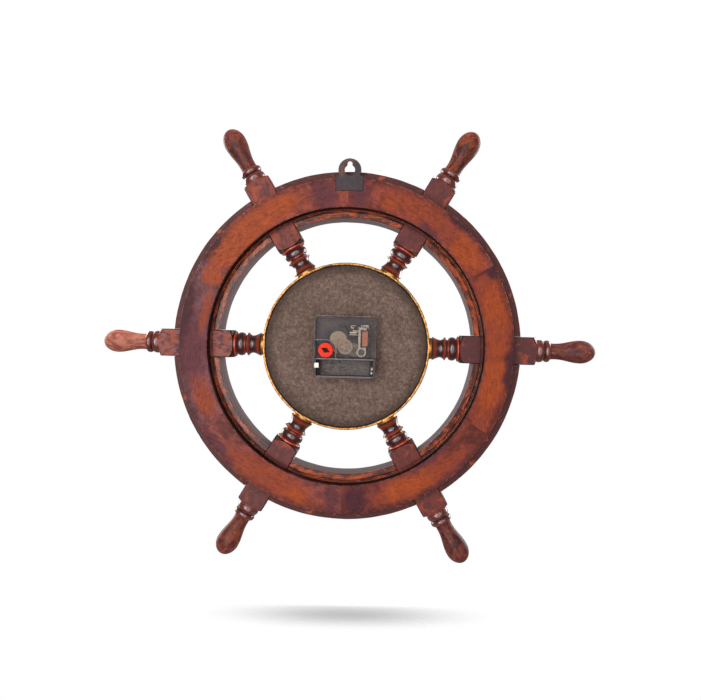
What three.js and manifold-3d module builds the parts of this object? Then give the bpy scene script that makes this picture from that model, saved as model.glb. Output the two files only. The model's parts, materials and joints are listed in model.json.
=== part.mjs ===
// Ship wheel clock: a wall clock in the form of a six-spoke ship's wheel, with a quartz movement
// on the back of its hub. Sizes are in millimetres. +Z is up, the wheel's axis is Y, the dial
// faces -Y and the wall is at +Y. The origin is the centre of the wheel, half way through the rim.

import * as THREE from "three";
import { mergeVertices } from "three/addons/utils/BufferGeometryUtils.js";
import Module from "manifold-3d";

const wasm = await Module();
wasm.setup();

// Wheel
const SPOKES = 6;
const TIP_RADIUS = 228.6; // 18 inches from tip to tip
const RIM_BACK = 24.5; // back of the rim, and as far forward on the other side
const FELLOE_BACK = 12.5; // the middle layer, as thick as the spokes' square blocks
const FACING_OUTER = 151.2;
const FACING_WIDTH = 26;
const OUTER_LEDGE = 7.8; // how far the felloes show outside the facings
const INNER_LEDGE = 8.7;
const JOINT_GAP = 0.3;
const GROOVE_WIDTH = 1.6; // a line cut round the back of the felloes, close to the facing
const GROOVE_DEPTH = 1.5;
const GROOVE_INSET = 1;

// Spokes, each turned from one square stick: radii of the turned parts
const BLOCK_OUTER_END = 173.5;
const BLOCK_INNER_END = 104.4;
const SHOULDER_LENGTH = 4.5;
const SHOULDER_FOOT = 11.9;
const HANDLE_LENGTH = 41.6;
const HANDLE_RADIUS = 10.5;
const HANDLE_NECK_RADIUS = 7.25;
const HANDLE_BULB_LENGTH = 13.6;
const HANDLE_TAPER_LENGTH = 23;
const RING_RADIUS = 10;
const RING_WIDTH = 5.4;
const OVOLO_RADIUS = 10.3;
const GROOVE_BOTTOM_RADIUS = 7.9;
const GROOVE_GAP = 0.4; // between one turned bead and the next
const COLLAR_RADIUS = 12.2; // thin collar beside the block's inner end
const COLLAR_WIDTH = 1.2;
const INNER_BEAD_RADIUS = 10.5;
const INNER_BEAD_WIDTH = 8.2;
const RIDGE_RADIUS = 10.3;
const RIDGE_STEP = 3; // from the inner bead to the ridge
const WAIST_RADIUS = 7.9;
const WAIST_LENGTH = 2.8;
const FLARE_RADIUS = 10.9;
const TENON_RADIUS = 5;
const TENON_DEPTH = 14; // how far the tenon reaches into the hub
const SPOKE_SIDES = 12;
const RIM_ARC = 5; // half the flats along one piece of the rim

const FACING_INNER = FACING_OUTER - FACING_WIDTH;
const FELLOE_OUTER = FACING_OUTER + OUTER_LEDGE;
const FELLOE_INNER = FACING_INNER - INNER_LEDGE;

// Hub
const HUB_SIDES = 36;
const BAND_RADIUS = 77;
const BAND_WALL = 0.8;
const BAND_LIP = 2.2; // how far the rolled edge covers the board, from the band's outside
const BAND_LIP_HEIGHT = 0.8;
const FERRULE_RADIUS = 9.8; // short brass sleeve at the foot of each spoke
const FERRULE_HEIGHT = 2.3;
const CORE_WIDTH = 15; // of the wooden ring, from the band's outside
const CORE_FRONT = -17;
const CORE_BACK = 5.5;
const BOARD_THICKNESS = 3;
const DIAL_FRONT = -4.25;
const DIAL_THICKNESS = 0.75;
const GLASS_INSET = 8; // from the band's outside to the glass
const GLASS_THICKNESS = 2;
const BEZEL_WALL = 1.2; // outside the band
const BEZEL_FRONT = -24;
const BEZEL_LIP = 3; // how far the bezel covers the glass
const BEZEL_CREST = 4; // from the lip to the front of the bezel
const BEZEL_SKIRT = 4;

// Hanger, a keyhole plate let into the back of the rim
const HANGER_OFFSET = -0.9; // it was fixed a little to one side of the top
const HANGER_THICKNESS = 1.25;
const HANGER_TAB_WIDTH = 24.4;
const HANGER_TAB_DEPTH = 11.4; // below the facing's outer edge
const HANGER_TAB_RISE = 2.2; // above that edge
const HANGER_EYE_RISE = 7; // the eye's centre above that edge
const HANGER_EYE_RADIUS = 10.3;
const KEYHOLE_RADIUS = 4.6;
const KEYHOLE_SLOT_WIDTH = 4.4;
const KEYHOLE_SLOT_TOP = 7.7; // above the centre of the eye

// Movement case
const CASE_SIZE = 56;
const CASE_CORNER = 5;
const CASE_DEPTH = 15.25;
const CASE_WALL = 1.25;
const CASE_SPLIT = 8; // height of the base's wall, where the cover stands on it
const BAY_HEIGHT = 14.7;
const BAY_EDGE = 1.7; // below the bay
const BAY_END = 2.1; // at each end of the bay
const BAY_WALL = 1;
const POCKET_FLOOR = 12; // height of the knob's pocket in the cover
const POCKET_RADIUS = 9;
const PIVOT_RADIUS = 0.5; // of every arbor in the train
const PIVOT_CLEARANCE = 0.3;
const STUD_RADIUS = 0.35; // of the stud that the motion wheel turns on
const STUD_PROUD = 0.6;
const PIVOT_TOP = 13; // height of the arbors' back ends
const POST_RADIUS = 1.6; // of the posts under the train bridge
const POSTS = [[-19.5, -7.5], [3, 17.5], [20.5, 9]]; // clear of every wheel below the bridge
const BRIDGE_OUTLINE = [
  [-21.5, -9.4], [5.5, -9.4], [8.5, 1], [22.5, 6.5], [22.5, 11.2],
  [5.5, 19.5], [0.8, 19.5], [-2.6, 8.6], [-21.5, 1],
];
const BOSS_WALL = 0.7;
const BOSS_REACH = 0.8; // how much of an arbor its boss holds
const BUSHING_RADIUS = 4;
const BUSHING_WALL = 1.2;
const BUSHING_FRONT = -8.5;
const BUSHING_FLANGE = 1.3;
const BUSHING_FLANGE_THICKNESS = 0.4;
const NUT_ACROSS_FLATS = 12;
const NUT_THICKNESS = 2.5;
const WASHER_RADIUS = 8;
const WASHER_THICKNESS = 0.75;

// Gears: teeth, and the module that each pair shares
const ROTOR_TEETH = 6;
const INTERMEDIATE_TEETH = 36;
const ROTOR_MODULE = 0.34;
const INTERMEDIATE_PINION_TEETH = 8;
const SECONDS_TEETH = 40;
const SECONDS_MODULE = 0.35;
const SECONDS_PINION_TEETH = 6;
const THIRD_TEETH = 48;
const THIRD_DISTANCE = 9; // from the centre to the third wheel
const THIRD_PINION_TEETH = 6;
const CENTRE_TEETH = 45;
const CANNON_TEETH = 10;
const MOTION_TEETH = 30;
const MOTION_PINION_TEETH = 8;
const HOUR_TEETH = 32;
const SETTING_TEETH = 35;
const MOTION_MODULE = 0.336;

// Heights of the gears above the board's back: where each wheel starts and ends
const HOUR_LEVEL = [1.9, 2.9];
const MOTION_LEVEL = [3.4, 4.4];
const CENTRE_LEVEL = [5.2, 6];
const BRIDGE_LEVEL = [6.4, 6.9];
const THIRD_LEVEL = [7.3, 8.1];
const SECONDS_LEVEL = [9.1, 9.9];
const PINION_OVERLAP = 0.2; // how far a pinion is longer than the wheel it drives, at each end
const STATOR_LEVEL = [10.25, 11.25];
const MAGNET_RADIUS = 2.4;
const MAGNET_LEVEL = [9.5, 11.9];
const STATOR_GAP = 0.6;
const LOBE_WALL = 1.3;
const ROTOR_ANGLE = 197.5; // degrees from +X towards +Z, as are the next two
const THIRD_ANGLE = 43.6;
const WHEEL_WEB_RECESS = 0.35;

// Coil and circuit, by place on the back of the movement
const COIL_X = -17.9;
const COIL_MIDDLE = 7.7;
const COIL_LENGTH = 13.9;
const COIL_RADIUS = 2.45;
const COIL_FLANGE = 0.7;
const WINDING_HALF_DEPTH = 1.95;
const WIRE_GAP = 0.15; // between the wire and the bobbin's tube
const STATOR_BAR_X = -12.9;
const STATOR_BAR_WIDTH = 2;
const STATOR_TOP = 17.8;
const CORE_THICKNESS = 0.75;
const BOBBIN_WALL = 0.5;
const CIRCUIT_X = -12.3;
const CIRCUIT_FROM_TOP = 13; // its middle, below the top of the case
const CIRCUIT_SHELF = 2;
const CIRCUIT_SIZE = [18.5, 10.8];
const CIRCUIT_LEVEL = [7, 8];
const CRYSTAL_RADIUS = 1;
const CRYSTAL_LENGTH = 6;
const CRYSTAL_OFFSET = [5.3, -2]; // from the middle of the circuit board

// Setting knob
const KNOB_ANGLE = -10.8;
const KNOB_RADIUS = 6.7;
const KNOB_LEVEL = [12.35, 14.75];
const KNOB_STEM_RADIUS = 1.5;
const KNOB_SLOT_LENGTH = 7.8;
const KNOB_SLOT_WIDTH = 2.6;
const KNOB_SLOT_DEPTH = 1.2;
const KNOB_SLOT_TILT = 21;

// Battery contacts, bent from sheet
const CONTACT_SHEET = 0.5;
const CONTACT_WIDTH = 4.4;
const POSITIVE_DROP = 5.5; // below the top of the bay
const NEGATIVE_DROP = 9;
const CONTACT_BOTTOM = 4;
const CONTACT_TAB_HEIGHT = 14.25;
const SPRING_BOW = 2.6;

// Hands and the time that they show at rest
const HOUR_PIPE_RADIUS = 2.6;
const HOUR_PIPE_BORE = 1.8;
const CANNON_RADIUS = 1.6;
const CANNON_BORE = 0.8;
const HAND_THICKNESS = 0.5;
const HOUR_HAND_FRONT = -10.25;
const MINUTE_HAND_FRONT = -12.25;
const SECOND_HAND_FRONT = -14;
const PIPE_PROUD = 0.4;
const HAND_HUB_WALL = 1.3;
const HAND_SEAT = 0.3; // clearance of each hand's hub round its pipe
const HOUR_HAND_LENGTH = 34;
const MINUTE_HAND_LENGTH = 49;
const SECOND_HAND_LENGTH = 52;
const SECOND_HAND_TAIL = 15;
const SHOWN_TIME = { hours: 10, minutes: 10, seconds: 35 };

const TURN = 2 * Math.PI;
const radians = THREE.MathUtils.degToRad;

// Materials

function finish(color, roughness, metalness = 0, opacity = 1) {
  const transparent = opacity < 1;
  return new THREE.MeshStandardMaterial({ color, roughness, metalness, opacity, transparent });
}

const turnedWood = finish(0x5a1f14, 0.25);
const rimWood = finish(0x7a3a26, 0.45);
const hubWood = finish(0x4a2016, 0.5);
const board = finish(0x57483f, 0.85);
const brass = finish(0xc39a45, 0.3, 1);
const plate = finish(0x4d3a35, 0.55, 0.6);
const paper = finish(0xeee6d2, 0.7);
const clearGlass = finish(0xffffff, 0.02, 0, 0.3);
const blackPlastic = finish(0x1d1a1c, 0.45);
const smokyPlastic = finish(0x4d474b, 0.2, 0, 0.55);
const palePlastic = finish(0xa0917f, 0.5);
const redPlastic = finish(0xf0341c, 0.4);
const copper = finish(0xb4663f, 0.4, 1);
const steel = finish(0xb5b2aa, 0.3, 1);
const silver = finish(0xdedbd2, 0.25, 1);
const ferrite = finish(0x6c5a54, 0.6);
const circuit = finish(0x2d2a26, 0.6);
const handBlack = finish(0x141414, 0.35);

// Solids

function solid(geometry) {
  const bare = geometry.clone();
  bare.deleteAttribute("normal");
  bare.deleteAttribute("uv");
  const merged = mergeVertices(bare, 1e-4);
  const triVerts = new Uint32Array(merged.index.array);
  const vertProperties = merged.attributes.position.array;
  return new wasm.Manifold(new wasm.Mesh({ numProp: 3, vertProperties, triVerts }));
}

function geometryOf(manifold) {
  const made = manifold.getMesh();
  const geometry = new THREE.BufferGeometry();
  geometry.setAttribute("position", new THREE.BufferAttribute(made.vertProperties, 3));
  geometry.setIndex(new THREE.BufferAttribute(made.triVerts, 1));
  geometry.computeVertexNormals();
  return geometry;
}

function join(first, ...others) {
  const whole = others.reduce((sum, other) => sum.add(solid(other)), solid(first));
  return geometryOf(whole);
}

function cut(first, ...others) {
  const rest = others.reduce((left, other) => left.subtract(solid(other)), solid(first));
  return geometryOf(rest);
}

function common(first, second) {
  return geometryOf(solid(first).intersect(solid(second)));
}

// A plate with its outline in the wheel's plane, from one place on Y to another.
function slab(shape, from, to, curveSegments = 8) {
  const options = { depth: to - from, bevelEnabled: false, curveSegments };
  return new THREE.ExtrudeGeometry(shape, options).rotateX(Math.PI / 2).translate(0, to, 0);
}

function block(x, z, width, height, from, to) {
  return new THREE.BoxGeometry(width, to - from, height).translate(x, (from + to) / 2, z);
}

function rod(radius, from, to, sides = 12) {
  const height = to - from;
  return new THREE.CylinderGeometry(radius, radius, height, sides).translate(0, (from + to) / 2, 0);
}

// A ring about Y whose cross-section is a closed outline of [radius, y] points, anti-clockwise.
function ring(outline, sides) {
  const points = [...outline, outline[0]].map(([r, y]) => new THREE.Vector2(r, y));
  return new THREE.LatheGeometry(points, sides);
}

function tube(outer, inner, from, to, sides = 12) {
  const outline = [[inner, from], [outer, from], [outer, to], [inner, to]];
  return ring(outline, sides);
}

const clock = new THREE.Group();

// A piece with one hole along its own axis, right through. The hole's flats lie at the radius.
function bored(geometry, radius, sides = 10) {
  const corner = radius / Math.cos(Math.PI / sides);
  return cut(geometry, rod(corner, -RIM_BACK, RIM_BACK, sides));
}

function add(parent, name, geometry, material) {
  const mesh = new THREE.Mesh(geometry, material);
  mesh.name = name;
  parent.add(mesh);
  return mesh;
}

// Angles in the wheel's plane run from +X towards +Z, and a turn about Y goes the other way.
const spokeAngle = (i) => (i * TURN) / SPOKES;
const HALF_SECTOR = TURN / SPOKES / 2;

// Spokes

// Points of an elliptical bead, from its outer end to its inner end along the spoke.
function bead(outerEnd, width, foot, top, steps) {
  const points = [];
  for (let i = 0; i <= steps; i++) {
    const t = (i / steps) * Math.PI;
    const along = outerEnd - (width * (1 - Math.cos(t))) / 2;
    points.push([along, foot + (top - foot) * Math.sin(t)]);
  }
  return points;
}

// A quarter-ellipse shoulder between the turned part and the square block.
function shoulder(end, direction) {
  const steps = 2;
  const points = [];
  for (let i = 0; i <= steps; i++) {
    const t = (i / steps) * (Math.PI / 2);
    const along = end + direction * SHOULDER_LENGTH * (1 - Math.cos(t));
    points.push([along, SHOULDER_FOOT + (BLOCK_CORNER - SHOULDER_FOOT) * Math.sin(t)]);
  }
  return points;
}

// Just beyond the corners of the square, so that the block keeps its four faces.
const BLOCK_CORNER = FELLOE_BACK * Math.SQRT2 + JOINT_GAP;
const SPOKE_INNER_END = BAND_RADIUS + FERRULE_HEIGHT + JOINT_GAP;

function handlePoints() {
  const bulb = TIP_RADIUS - HANDLE_BULB_LENGTH;
  const points = [[TIP_RADIUS, 0]];
  for (let i = 1; i <= 3; i++) {
    const t = (i / 3) * (Math.PI / 2);
    points.push([bulb + HANDLE_BULB_LENGTH * Math.cos(t), HANDLE_RADIUS * Math.sin(t)]);
  }
  const middle = (HANDLE_RADIUS + HANDLE_NECK_RADIUS) / 2;
  const swing = (HANDLE_RADIUS - HANDLE_NECK_RADIUS) / 2;
  for (let i = 1; i <= 3; i++) {
    const t = i / 3;
    points.push([bulb - HANDLE_TAPER_LENGTH * t, middle + swing * Math.cos(t * Math.PI)]);
  }
  points.push([TIP_RADIUS - HANDLE_LENGTH, HANDLE_NECK_RADIUS + 0.5]);
  return points;
}

function spokePoints() {
  const ringStart = TIP_RADIUS - HANDLE_LENGTH;
  const ovoloStart = ringStart - RING_WIDTH - GROOVE_GAP;
  const ovoloWidth = ovoloStart - BLOCK_OUTER_END - GROOVE_GAP;
  const collarStart = BLOCK_INNER_END - GROOVE_GAP;
  const collarEnd = collarStart - COLLAR_WIDTH;
  const beadStart = collarEnd - GROOVE_GAP;
  const ridge = beadStart - INNER_BEAD_WIDTH - RIDGE_STEP;
  const waist = (ridge + SPOKE_INNER_END) / 2;
  return [
    ...handlePoints(),
    ...bead(ringStart, RING_WIDTH, GROOVE_BOTTOM_RADIUS, RING_RADIUS, 3),
    ...bead(ovoloStart, ovoloWidth, GROOVE_BOTTOM_RADIUS, OVOLO_RADIUS, 3),
    ...shoulder(BLOCK_OUTER_END, -1),
    ...shoulder(BLOCK_INNER_END, 1).reverse(),
    [collarStart, GROOVE_BOTTOM_RADIUS],
    [collarStart - GROOVE_GAP, COLLAR_RADIUS],
    [collarEnd, COLLAR_RADIUS],
    ...bead(beadStart, INNER_BEAD_WIDTH, GROOVE_BOTTOM_RADIUS, INNER_BEAD_RADIUS, 4),
    [ridge, RIDGE_RADIUS],
    [waist + WAIST_LENGTH / 2, WAIST_RADIUS],
    [waist - WAIST_LENGTH / 2, WAIST_RADIUS],
    [SPOKE_INNER_END, FLARE_RADIUS],
    [SPOKE_INNER_END, TENON_RADIUS],
    [BAND_RADIUS - TENON_DEPTH, TENON_RADIUS],
    [BAND_RADIUS - TENON_DEPTH, 0],
  ];
}

// The groove within one sixth of the wheel, centred on +X.
function grooveArc() {
  const outer = FACING_INNER - GROOVE_INSET;
  const bottom = FELLOE_BACK - GROOVE_DEPTH;
  return rimPiece(outer, outer - GROOVE_WIDTH, -1, bottom, FELLOE_BACK + 1, RIM_ARC);
}

function spokeGeometry() {
  const outline = spokePoints().map(([along, r]) => new THREE.Vector2(r, along)).reverse();
  const turned = new THREE.LatheGeometry(outline, SPOKE_SIDES).rotateZ(-Math.PI / 2);
  const side = 2 * FELLOE_BACK;
  const stick = new THREE.BoxGeometry(TIP_RADIUS, side, side).translate(TIP_RADIUS / 2 + 1, 0, 0);
  return cut(common(turned, stick), grooveArc());
}

function addSpokes() {
  const geometry = spokeGeometry();
  for (let i = 0; i < SPOKES; i++) {
    add(clock, "spoke_" + (i + 1), geometry, turnedWood).rotation.y = -spokeAngle(i);
  }
}

// Rim

// A piece of the rim, centred on +X, whose ends lie parallel to the lines between pieces.
function rimPiece(outer, inner, endOffset, from, to, arcSegments) {
  const outerHalf = HALF_SECTOR - Math.asin(endOffset / outer);
  const innerHalf = HALF_SECTOR - Math.asin(endOffset / inner);
  const shape = new THREE.Shape();
  shape.absarc(0, 0, outer, -outerHalf, outerHalf, false);
  shape.absarc(0, 0, inner, innerHalf, -innerHalf, true);
  return slab(shape, from, to, arcSegments);
}

function addFelloes() {
  const endOffset = FELLOE_BACK + JOINT_GAP;
  const arc = rimPiece(FELLOE_OUTER, FELLOE_INNER, endOffset, -FELLOE_BACK, FELLOE_BACK, RIM_ARC);
  const geometry = cut(arc, grooveArc());
  for (let i = 0; i < SPOKES; i++) {
    const angle = spokeAngle(i) + HALF_SECTOR;
    add(clock, "felloe_" + (i + 1), geometry, rimWood).rotation.y = -angle;
  }
}

const EYE_HEIGHT = FACING_OUTER + HANGER_EYE_RISE;

function hangerTab(clearance) {
  const bottom = FACING_OUTER - HANGER_TAB_DEPTH - clearance;
  const height = FACING_OUTER + HANGER_TAB_RISE - bottom;
  const width = HANGER_TAB_WIDTH + 2 * clearance;
  const front = RIM_BACK - HANGER_THICKNESS;
  return block(HANGER_OFFSET, bottom + height / 2, width, height, front, RIM_BACK);
}

// What is cut from the rim for the hanger: its outline, grown by a clearance.
function hangerRecess() {
  const front = RIM_BACK - HANGER_THICKNESS;
  const eye = rod(HANGER_EYE_RADIUS + JOINT_GAP, front, RIM_BACK, 16);
  return join(hangerTab(JOINT_GAP), eye.translate(HANGER_OFFSET, 0, EYE_HEIGHT));
}

function addFacings() {
  const gap = JOINT_GAP / 2;
  const back = rimPiece(FACING_OUTER, FACING_INNER, gap, FELLOE_BACK, RIM_BACK, RIM_ARC);
  const front = rimPiece(FACING_OUTER, FACING_INNER, gap, -RIM_BACK, -FELLOE_BACK, RIM_ARC);
  for (let i = 0; i < SPOKES; i++) {
    const angle = spokeAngle(i);
    const atTop = Math.abs(angle - TURN / 4) < TURN / SPOKES;
    const recess = hangerRecess().rotateY(angle);
    const backPiece = atTop ? cut(back, recess) : back;
    add(clock, "back_facing_" + (i + 1), backPiece, rimWood).rotation.y = -angle;
    add(clock, "front_facing_" + (i + 1), front, rimWood).rotation.y = -angle;
  }
}

function addHanger() {
  const eye = new THREE.Shape();
  eye.absarc(HANGER_OFFSET, EYE_HEIGHT, HANGER_EYE_RADIUS, 0, TURN, false);
  const slotHalf = KEYHOLE_SLOT_WIDTH / 2;
  const slotRise = Math.sqrt(KEYHOLE_RADIUS ** 2 - slotHalf ** 2);
  const slotTop = EYE_HEIGHT + KEYHOLE_SLOT_TOP - slotHalf;
  const start = Math.atan2(slotRise, -slotHalf);
  const end = Math.atan2(slotRise, slotHalf) + TURN;
  const hole = new THREE.Path();
  hole.absarc(HANGER_OFFSET, EYE_HEIGHT, KEYHOLE_RADIUS, start, end, false);
  hole.absarc(HANGER_OFFSET, slotTop, slotHalf, 0, Math.PI, false);
  eye.holes.push(hole);
  const eyePlate = slab(eye, RIM_BACK - HANGER_THICKNESS, RIM_BACK, 8);
  add(clock, "hanger_plate", join(eyePlate, hangerTab(0)), plate);
}

// Hub

const BOARD_BACK = CORE_BACK + BOARD_THICKNESS;
const DIAL_BACK = DIAL_FRONT + DIAL_THICKNESS;
const coreRadius = BAND_RADIUS - BAND_WALL - JOINT_GAP;
const coreBore = BAND_RADIUS - CORE_WIDTH;

// The holes are octagons, whose flats stay clear of the tenons.
const TENON_HOLE_RADIUS = (TENON_RADIUS + JOINT_GAP) / Math.cos(Math.PI / 8);

// Holes for the tenons, from inside the core to beyond the band.
function tenonHoles() {
  const start = BAND_RADIUS - TENON_DEPTH - JOINT_GAP;
  const holes = [];
  for (let i = 0; i < SPOKES; i++) {
    const hole = rod(TENON_HOLE_RADIUS, start, BAND_RADIUS + FERRULE_HEIGHT + 1, 8);
    holes.push(hole.rotateZ(-Math.PI / 2).rotateY(-spokeAngle(i)));
  }
  return holes;
}

function addBand() {
  const inside = BAND_RADIUS - BAND_WALL;
  const lipUnder = BOARD_BACK + JOINT_GAP;
  const lipInner = BAND_RADIUS - BAND_LIP;
  const lipBack = lipUnder + BAND_LIP_HEIGHT;
  const front = CORE_FRONT + JOINT_GAP;
  const outline = [
    [inside, front],
    [BAND_RADIUS, front],
    [BAND_RADIUS, lipUnder],
    [BAND_RADIUS - BAND_WALL / 2, lipBack],
    [lipInner + BAND_WALL / 2, lipBack],
    [lipInner, lipUnder],
    [inside, lipUnder],
  ];
  const within = rod(inside, front, lipBack + 1, HUB_SIDES);
  const ferrules = [];
  for (let i = 0; i < SPOKES; i++) {
    const sleeve = rod(FERRULE_RADIUS, inside - 2, BAND_RADIUS + FERRULE_HEIGHT, SPOKE_SIDES);
    ferrules.push(cut(sleeve.rotateZ(-Math.PI / 2).rotateY(-spokeAngle(i)), within));
  }
  const band = join(ring(outline, HUB_SIDES), ...ferrules);
  add(clock, "brass_band", cut(band, ...tenonHoles()), brass);
}

function addHub() {
  const core = tube(coreRadius, coreBore, CORE_FRONT, CORE_BACK, HUB_SIDES);
  add(clock, "hub_core", cut(core, ...tenonHoles()), hubWood);
  const shaftHole = BUSHING_RADIUS + JOINT_GAP;
  const boardDisc = rod(coreRadius, CORE_BACK, BOARD_BACK, HUB_SIDES);
  add(clock, "back_board", bored(boardDisc, shaftHole), board);
  const backing = rod(coreBore - JOINT_GAP, DIAL_BACK, CORE_BACK, HUB_SIDES);
  add(clock, "dial_backing", bored(backing, shaftHole), hubWood);
  const face = rod(coreBore - JOINT_GAP, DIAL_FRONT, DIAL_BACK, HUB_SIDES);
  add(clock, "dial", bored(face, shaftHole), paper);
}

function addBezel() {
  const glassRadius = BAND_RADIUS - GLASS_INSET;
  const glassFront = CORE_FRONT - GLASS_THICKNESS;
  add(clock, "glass", rod(glassRadius, glassFront, CORE_FRONT, HUB_SIDES), clearGlass);
  const seat = glassRadius + JOINT_GAP;
  const lip = glassRadius - BEZEL_LIP;
  const lipBack = glassFront - JOINT_GAP;
  const lipFront = lipBack - BEZEL_WALL;
  const skirtInside = BAND_RADIUS + JOINT_GAP;
  const outside = skirtInside + BEZEL_WALL;
  const skirtBack = CORE_FRONT + BEZEL_SKIRT;
  const outline = [
    [seat, CORE_FRONT],
    [seat, lipBack],
    [lip, lipBack],
    [lip, lipFront],
    [lip + BEZEL_CREST, BEZEL_FRONT],
    [outside - BEZEL_CREST / 2, BEZEL_FRONT],
    [outside, BEZEL_FRONT + BEZEL_CREST / 2],
    [outside, skirtBack],
    [skirtInside, skirtBack],
    [skirtInside, CORE_FRONT],
  ];
  add(clock, "front_bezel", ring(outline, HUB_SIDES), brass);
}

// Movement: everything stands on the back of the board, at heights measured from it
const at = (height) => BOARD_BACK + height;
const CASE_BACK = at(CASE_DEPTH);
const CASE_HALF = CASE_SIZE / 2;
const BAY_BOTTOM = BAY_EDGE - CASE_HALF;
const BAY_TOP = BAY_BOTTOM + BAY_HEIGHT;
const BAY_LENGTH = CASE_SIZE - 2 * BAY_END;
const CIRCUIT_Z = CASE_HALF - CIRCUIT_FROM_TOP;

function distanceOf(teeth, mateTeeth, module) {
  return ((teeth + mateTeeth) * module) / 2;
}

function placed(distance, angle) {
  return { x: distance * Math.cos(angle), z: distance * Math.sin(angle), angle };
}

const knobDirection = radians(KNOB_ANGLE);
const motionDistance = distanceOf(CANNON_TEETH, MOTION_TEETH, MOTION_MODULE);
const knobDistance = motionDistance + distanceOf(MOTION_TEETH, SETTING_TEETH, MOTION_MODULE);
const motionPlace = placed(motionDistance, knobDirection);
const knobPlace = placed(knobDistance, knobDirection);
const rotorDirection = radians(ROTOR_ANGLE);
const intermediateDistance = distanceOf(INTERMEDIATE_PINION_TEETH, SECONDS_TEETH, SECONDS_MODULE);
const rotorDistance =
  intermediateDistance + distanceOf(ROTOR_TEETH, INTERMEDIATE_TEETH, ROTOR_MODULE);
const intermediatePlace = placed(intermediateDistance, rotorDirection);
const rotorPlace = placed(rotorDistance, rotorDirection);
const thirdPlace = placed(THIRD_DISTANCE, radians(THIRD_ANGLE));
const thirdModule = (2 * THIRD_DISTANCE) / (SECONDS_PINION_TEETH + THIRD_TEETH);
const centreModule = (2 * THIRD_DISTANCE) / (THIRD_PINION_TEETH + CENTRE_TEETH);

// Corners of one tooth: how far each lies outside the pitch circle, in modules, and its place
// within one step of the teeth. A pinion's leaves are flat-topped and a wheel's teeth pointed.
const PINION_LEAF = [[-1.15, -0.25], [0.75, -0.08], [0.75, 0.08], [-1.15, 0.25]];
const WHEEL_TOOTH = [[-1.5, -0.5], [0.75, 0]];

// A toothed wheel about its own axis. One tooth, or with atGap one gap, points along the angle.
function gear(tooth, teeth, module, towards, atGap, from, to) {
  const step = TURN / teeth;
  const first = towards + (atGap ? step / 2 : 0);
  const outline = [];
  for (let i = 0; i < teeth; i++) {
    for (const [reach, share] of tooth) {
      const radius = module * (teeth / 2 + reach);
      const angle = first + (i + share) * step;
      outline.push(new THREE.Vector2(radius * Math.cos(angle), radius * Math.sin(angle)));
    }
  }
  return slab(new THREE.Shape(outline), from, to);
}

function wheelGeometry(teeth, module, towards, atGap, level) {
  return gear(WHEEL_TOOTH, teeth, module, towards, atGap, at(level[0]), at(level[1]));
}

// A pinion as long as the wheel that it meets, and a little more at each end.
function pinionGeometry(teeth, module, towards, atGap, level) {
  const from = at(level[0] - PINION_OVERLAP);
  const to = at(level[1] + PINION_OVERLAP);
  return gear(PINION_LEAF, teeth, module, towards, atGap, from, to);
}

const arborHole = PIVOT_RADIUS + PIVOT_CLEARANCE;
const arborBottom = at(CASE_WALL + JOINT_GAP);
const arborTop = at(PIVOT_TOP);

function squareOutline(size, corner, bottom) {
  const side = size / 2;
  const shape = new THREE.Shape();
  shape.moveTo(-side, bottom);
  shape.lineTo(side, bottom);
  shape.absarc(side - corner, side - corner, corner, 0, Math.PI / 2, false);
  shape.absarc(-side + corner, side - corner, corner, Math.PI / 2, Math.PI, false);
  return shape;
}

function caseOutline(size, corner) {
  const side = size / 2;
  const inner = side - corner;
  const shape = new THREE.Shape();
  shape.absarc(inner, inner, corner, 0, Math.PI / 2, false);
  shape.absarc(-inner, inner, corner, Math.PI / 2, Math.PI, false);
  shape.absarc(-inner, -inner, corner, Math.PI, 1.5 * Math.PI, false);
  shape.absarc(inner, -inner, corner, 1.5 * Math.PI, TURN, false);
  return shape;
}

function addCaseBase() {
  const whole = slab(caseOutline(CASE_SIZE, CASE_CORNER), BOARD_BACK, CASE_BACK, 4);
  const coverBottom = BAY_TOP + BAY_WALL;
  const upperHeight = CASE_HALF - coverBottom;
  const upperMiddle = coverBottom + upperHeight / 2;
  const aboveSplit = block(0, upperMiddle, CASE_SIZE, upperHeight, at(CASE_SPLIT), CASE_BACK + 1);
  const insideSize = CASE_SIZE - 2 * CASE_WALL;
  const insideShape = squareOutline(insideSize, CASE_CORNER - CASE_WALL, coverBottom);
  const inside = slab(insideShape, at(CASE_WALL), at(CASE_SPLIT) + 1, 4);
  const bayMiddle = (BAY_TOP + BAY_BOTTOM) / 2;
  const bay = block(0, bayMiddle, BAY_LENGTH, BAY_HEIGHT, at(CASE_WALL), CASE_BACK + 1);
  const shaftHole = rod(BUSHING_RADIUS + JOINT_GAP, BOARD_BACK - 1, at(CASE_WALL) + 1, 16);
  const notchLength = 2 * BAY_END;
  const notchWidth = CONTACT_WIDTH + 2 * JOINT_GAP;
  const notch = block(
    CASE_HALF - notchLength / 2,
    BAY_TOP - POSITIVE_DROP,
    notchLength,
    notchWidth,
    at(CONTACT_TAB_HEIGHT),
    CASE_BACK + 1,
  );
  const shell = cut(whole, aboveSplit, inside, bay, shaftHole, notch);
  const root = at(CASE_WALL / 2);
  const stud = rod(STUD_RADIUS, root, at(MOTION_LEVEL[1]) + STUD_PROUD, 8);
  stud.translate(motionPlace.x, 0, motionPlace.z);
  const posts = POSTS.map(([x, z]) => {
    return rod(POST_RADIUS, root, at(BRIDGE_LEVEL[0]), 8).translate(x, 0, z);
  });
  const shelfZ = CIRCUIT_Z + (CIRCUIT_SIZE[1] - CIRCUIT_SHELF) / 2;
  const shelfBack = at(CIRCUIT_LEVEL[0]);
  const shelf = block(CIRCUIT_X, shelfZ, CIRCUIT_SIZE[0], CIRCUIT_SHELF, root, shelfBack);
  add(clock, "case_base", join(shell, stud, shelf, ...posts), blackPlastic);
}

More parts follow.
